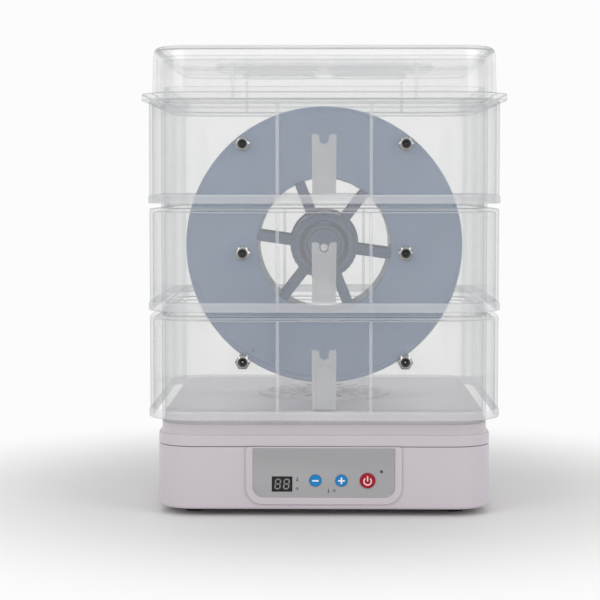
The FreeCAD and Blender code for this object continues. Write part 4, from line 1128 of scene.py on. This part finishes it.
def make_drum_ribs():
    """Ribs along the inside of the drum."""
    length = 62
    rib = block(1.2, 1.6, length, 0.3)
    # The ribs take the darker spool plastic, as painted shade
    ribs = repeated("drum_ribs", CIRCLE, rib, SPOOL_PAINTED_SHADE, Count=30, Radius=(WINDOW_RADIUS + 0.2) * MM)
    upright = Matrix.Rotation(math.radians(90), 4, "X")
    ribs.data.transform(Matrix.Translation(Vector((0, REAR_SIDE - 0.5, AXLE_LEVEL)) * MM) @ upright)
    keep(ribs, "spool", "spool_plastic")


def make_hub_nut():
    """The knurled nut that holds the spool on its sleeve: a grip ring and a thread ring joined by webs."""
    place = (0, HUB_NUT_FRONT, AXLE_LEVEL)
    grip = [(17.6, 8), (17.6, 1.4), (18.2, 0.6), (20.5, 0.6), (21, 1.4), (22, 1.4), (22.6, 0.6), (23.6, 0.8),
            (24.3, 1.6, knurled), (24.3, 7.2, knurled), (23.2, 8)]
    # The nut takes the darker spool plastic, as painted shade
    nut = turned("hub_grip", SPOOL_PAINTED_SHADE, grip, place, count=288)
    tube = [(11.7, 12), (11.7, 1), (12.6, 0), (14, 0), (14.6, 0.6), (14.6, 12)]
    thread = turned("hub_thread", SPOOL_PAINTED_SHADE, tube, place, count=72)
    upright = Matrix.Rotation(math.radians(90), 4, "X")
    webs_between = []
    for side in SIGNS:
        web = block(7, 3.6, 7, 0.4)
        middle = Vector((0, HUB_NUT_FRONT + 8.2, AXLE_LEVEL + side * 16.1)) * MM
        web.data.transform(Matrix.Translation(middle) @ upright)
        webs_between.append(web)
    joined(nut, [thread, *webs_between])
    keep(nut, "spool", "spool_plastic", "hub_nut")


def make_spool():
    """The spool's two sides, ribs and nut, and the finish of its inner CAD pieces: a darker spool plastic
    that paints shade on the recessed parts.
    """
    make_flange("front_flange", FRONT_SIDE, -1)
    make_flange("rear_flange", REAR_SIDE, 1)
    make_drum_ribs()
    make_hub_nut()
    # The inner CAD pieces take the darker spool plastic, as painted shade
    for node in ("spool_drum", "spool_hub", "hub_sleeve"):
        mesh = frame["nodes"][node].data
        mesh.materials.clear()
        mesh.materials.append(SPOOL_PAINTED_SHADE)


# Stage, light and camera

def seen_rays(tree):
    """One where a ray comes from the camera, or from it by way of gloss or glass."""
    rays = tree.nodes.new("ShaderNodeLightPath").outputs
    direct = maths(tree, "ADD", rays["Is Camera Ray"], rays["Is Glossy Ray"])
    return maths(tree, "ADD", direct, rays["Is Transmission Ray"])


def floor_finish():
    """Paper kept darker round the box as painted shade, turning to plain white away from the box."""
    material = finish("floor_paper_painted_shade", (0.73, 0.725, 0.72), (0.75, 0.745, 0.74), (0.6, 0.7), 3, 300, 0.02)
    tree = material.node_tree
    nodes = tree.nodes
    white = nodes.new("ShaderNodeEmission")
    white.inputs["Strength"].default_value = WHITE_SEEN
    place = nodes.new("ShaderNodeTexCoord")
    distance = nodes.new("ShaderNodeVectorMath")
    distance.operation = "LENGTH"
    shade_fade = nodes.new("ShaderNodeMapRange")
    shade_fade.interpolation_type = "SMOOTHSTEP"
    shade_fade.inputs["From Min"].default_value = PAINTED_SHADE_START
    shade_fade.inputs["From Max"].default_value = PAINTED_SHADE_END
    wire(tree, (place, "Object", distance, 0), (distance, "Value", shade_fade, "Value"))
    # Near the box the darker paper shows as painted shade; further out it gives way to white
    share = maths(tree, "MULTIPLY", shade_fade.outputs["Result"], seen_rays(tree))
    paper = nodes["Principled BSDF"].outputs["BSDF"]
    shown = blended(tree, share, paper, white.outputs["Emission"])
    tree.links.new(shown, nodes["Material Output"].inputs["Surface"])
    return material


def make_floor():
    """A pale floor whose paper is darkened round the box as painted shade."""
    corners = [(x * FLOOR_REACH, y * FLOOR_REACH, 0) for x, y in ((-1, -1), (1, -1), (1, 1), (-1, 1))]
    mesh = bpy.data.meshes.new("floor")
    mesh.from_pydata(corners, [], [(0, 1, 2, 3)])
    mesh.materials.append(floor_finish())
    add_object("floor", mesh)


def make_world():
    """White where it is seen, and a softer even light on the object."""
    world = bpy.data.worlds.new("studio")
    bpy.context.scene.world = world
    world.use_nodes = True
    tree = world.node_tree
    lit = tree.nodes["Background"]
    seen = tree.nodes.new("ShaderNodeBackground")
    for background, strength in ((lit, WORLD_LIGHT), (seen, WHITE_SEEN)):
        background.inputs["Color"].default_value = (1, 1, 1, 1)
        background.inputs["Strength"].default_value = strength
    shown = blended(tree, seen_rays(tree), lit.outputs["Background"], seen.outputs["Background"])
    tree.links.new(shown, tree.nodes["World Output"].inputs["Surface"])


def softbox(name, place, target, size, power):
    """A rectangular lamp that looks at a target."""
    data = bpy.data.lights.new(name, "AREA")
    data.shape = "RECTANGLE"
    data.size, data.size_y = size
    data.energy = power
    lamp = add_object(name, data)
    lamp.location = place
    lamp.rotation_euler = (Vector(target) - Vector(place)).to_track_quat("-Z", "Y").to_euler()


def make_light():
    """Soft lamps above the box and in front of it."""
    softbox("overhead", (0, 0.25, 1.5), (0, 0, 0.1), (1.6, 1.2), 1.5)
    softbox("front_left", (-1.1, -1.2, 0.9), (0, 0, 0.15), (0.9, 0.9), 7)
    softbox("front_right", (1.2, -1.0, 0.8), (0, 0, 0.15), (0.9, 0.9), 6)


def make_camera():
    """A camera that looks at the front from a little above the middle."""
    data = bpy.data.cameras.new("camera")
    data.sensor_width = CAMERA_SENSOR
    data.lens = CAMERA_LENS
    camera = add_object("camera", data)
    camera.location = CAMERA_PLACE
    camera.rotation_euler = (math.radians(90 - CAMERA_DOWN), 0, math.radians(CAMERA_TURN))
    bpy.context.scene.camera = camera


def make_scene():
    """The stage around the box, and how it is shown."""
    scene = bpy.context.scene
    scene.view_settings.view_transform = "Standard"
    scene.cycles.transparent_max_bounces = 64
    make_floor()
    make_world()
    make_light()
    make_camera()


dress_nodes()
make_base_body()
make_base_cover()
for tray_name, tray_low in TRAY_LOWS.items():
    make_tray(tray_name, tray_low)
    make_posts(tray_name, tray_low)
    make_outlets(tray_name, tray_low)
make_lid()
make_frame()
make_overlay()
make_display()
make_keys()
make_light_lens()
make_pictograms()
make_feet()
make_gland()
make_axle()
make_spool()
make_scene()
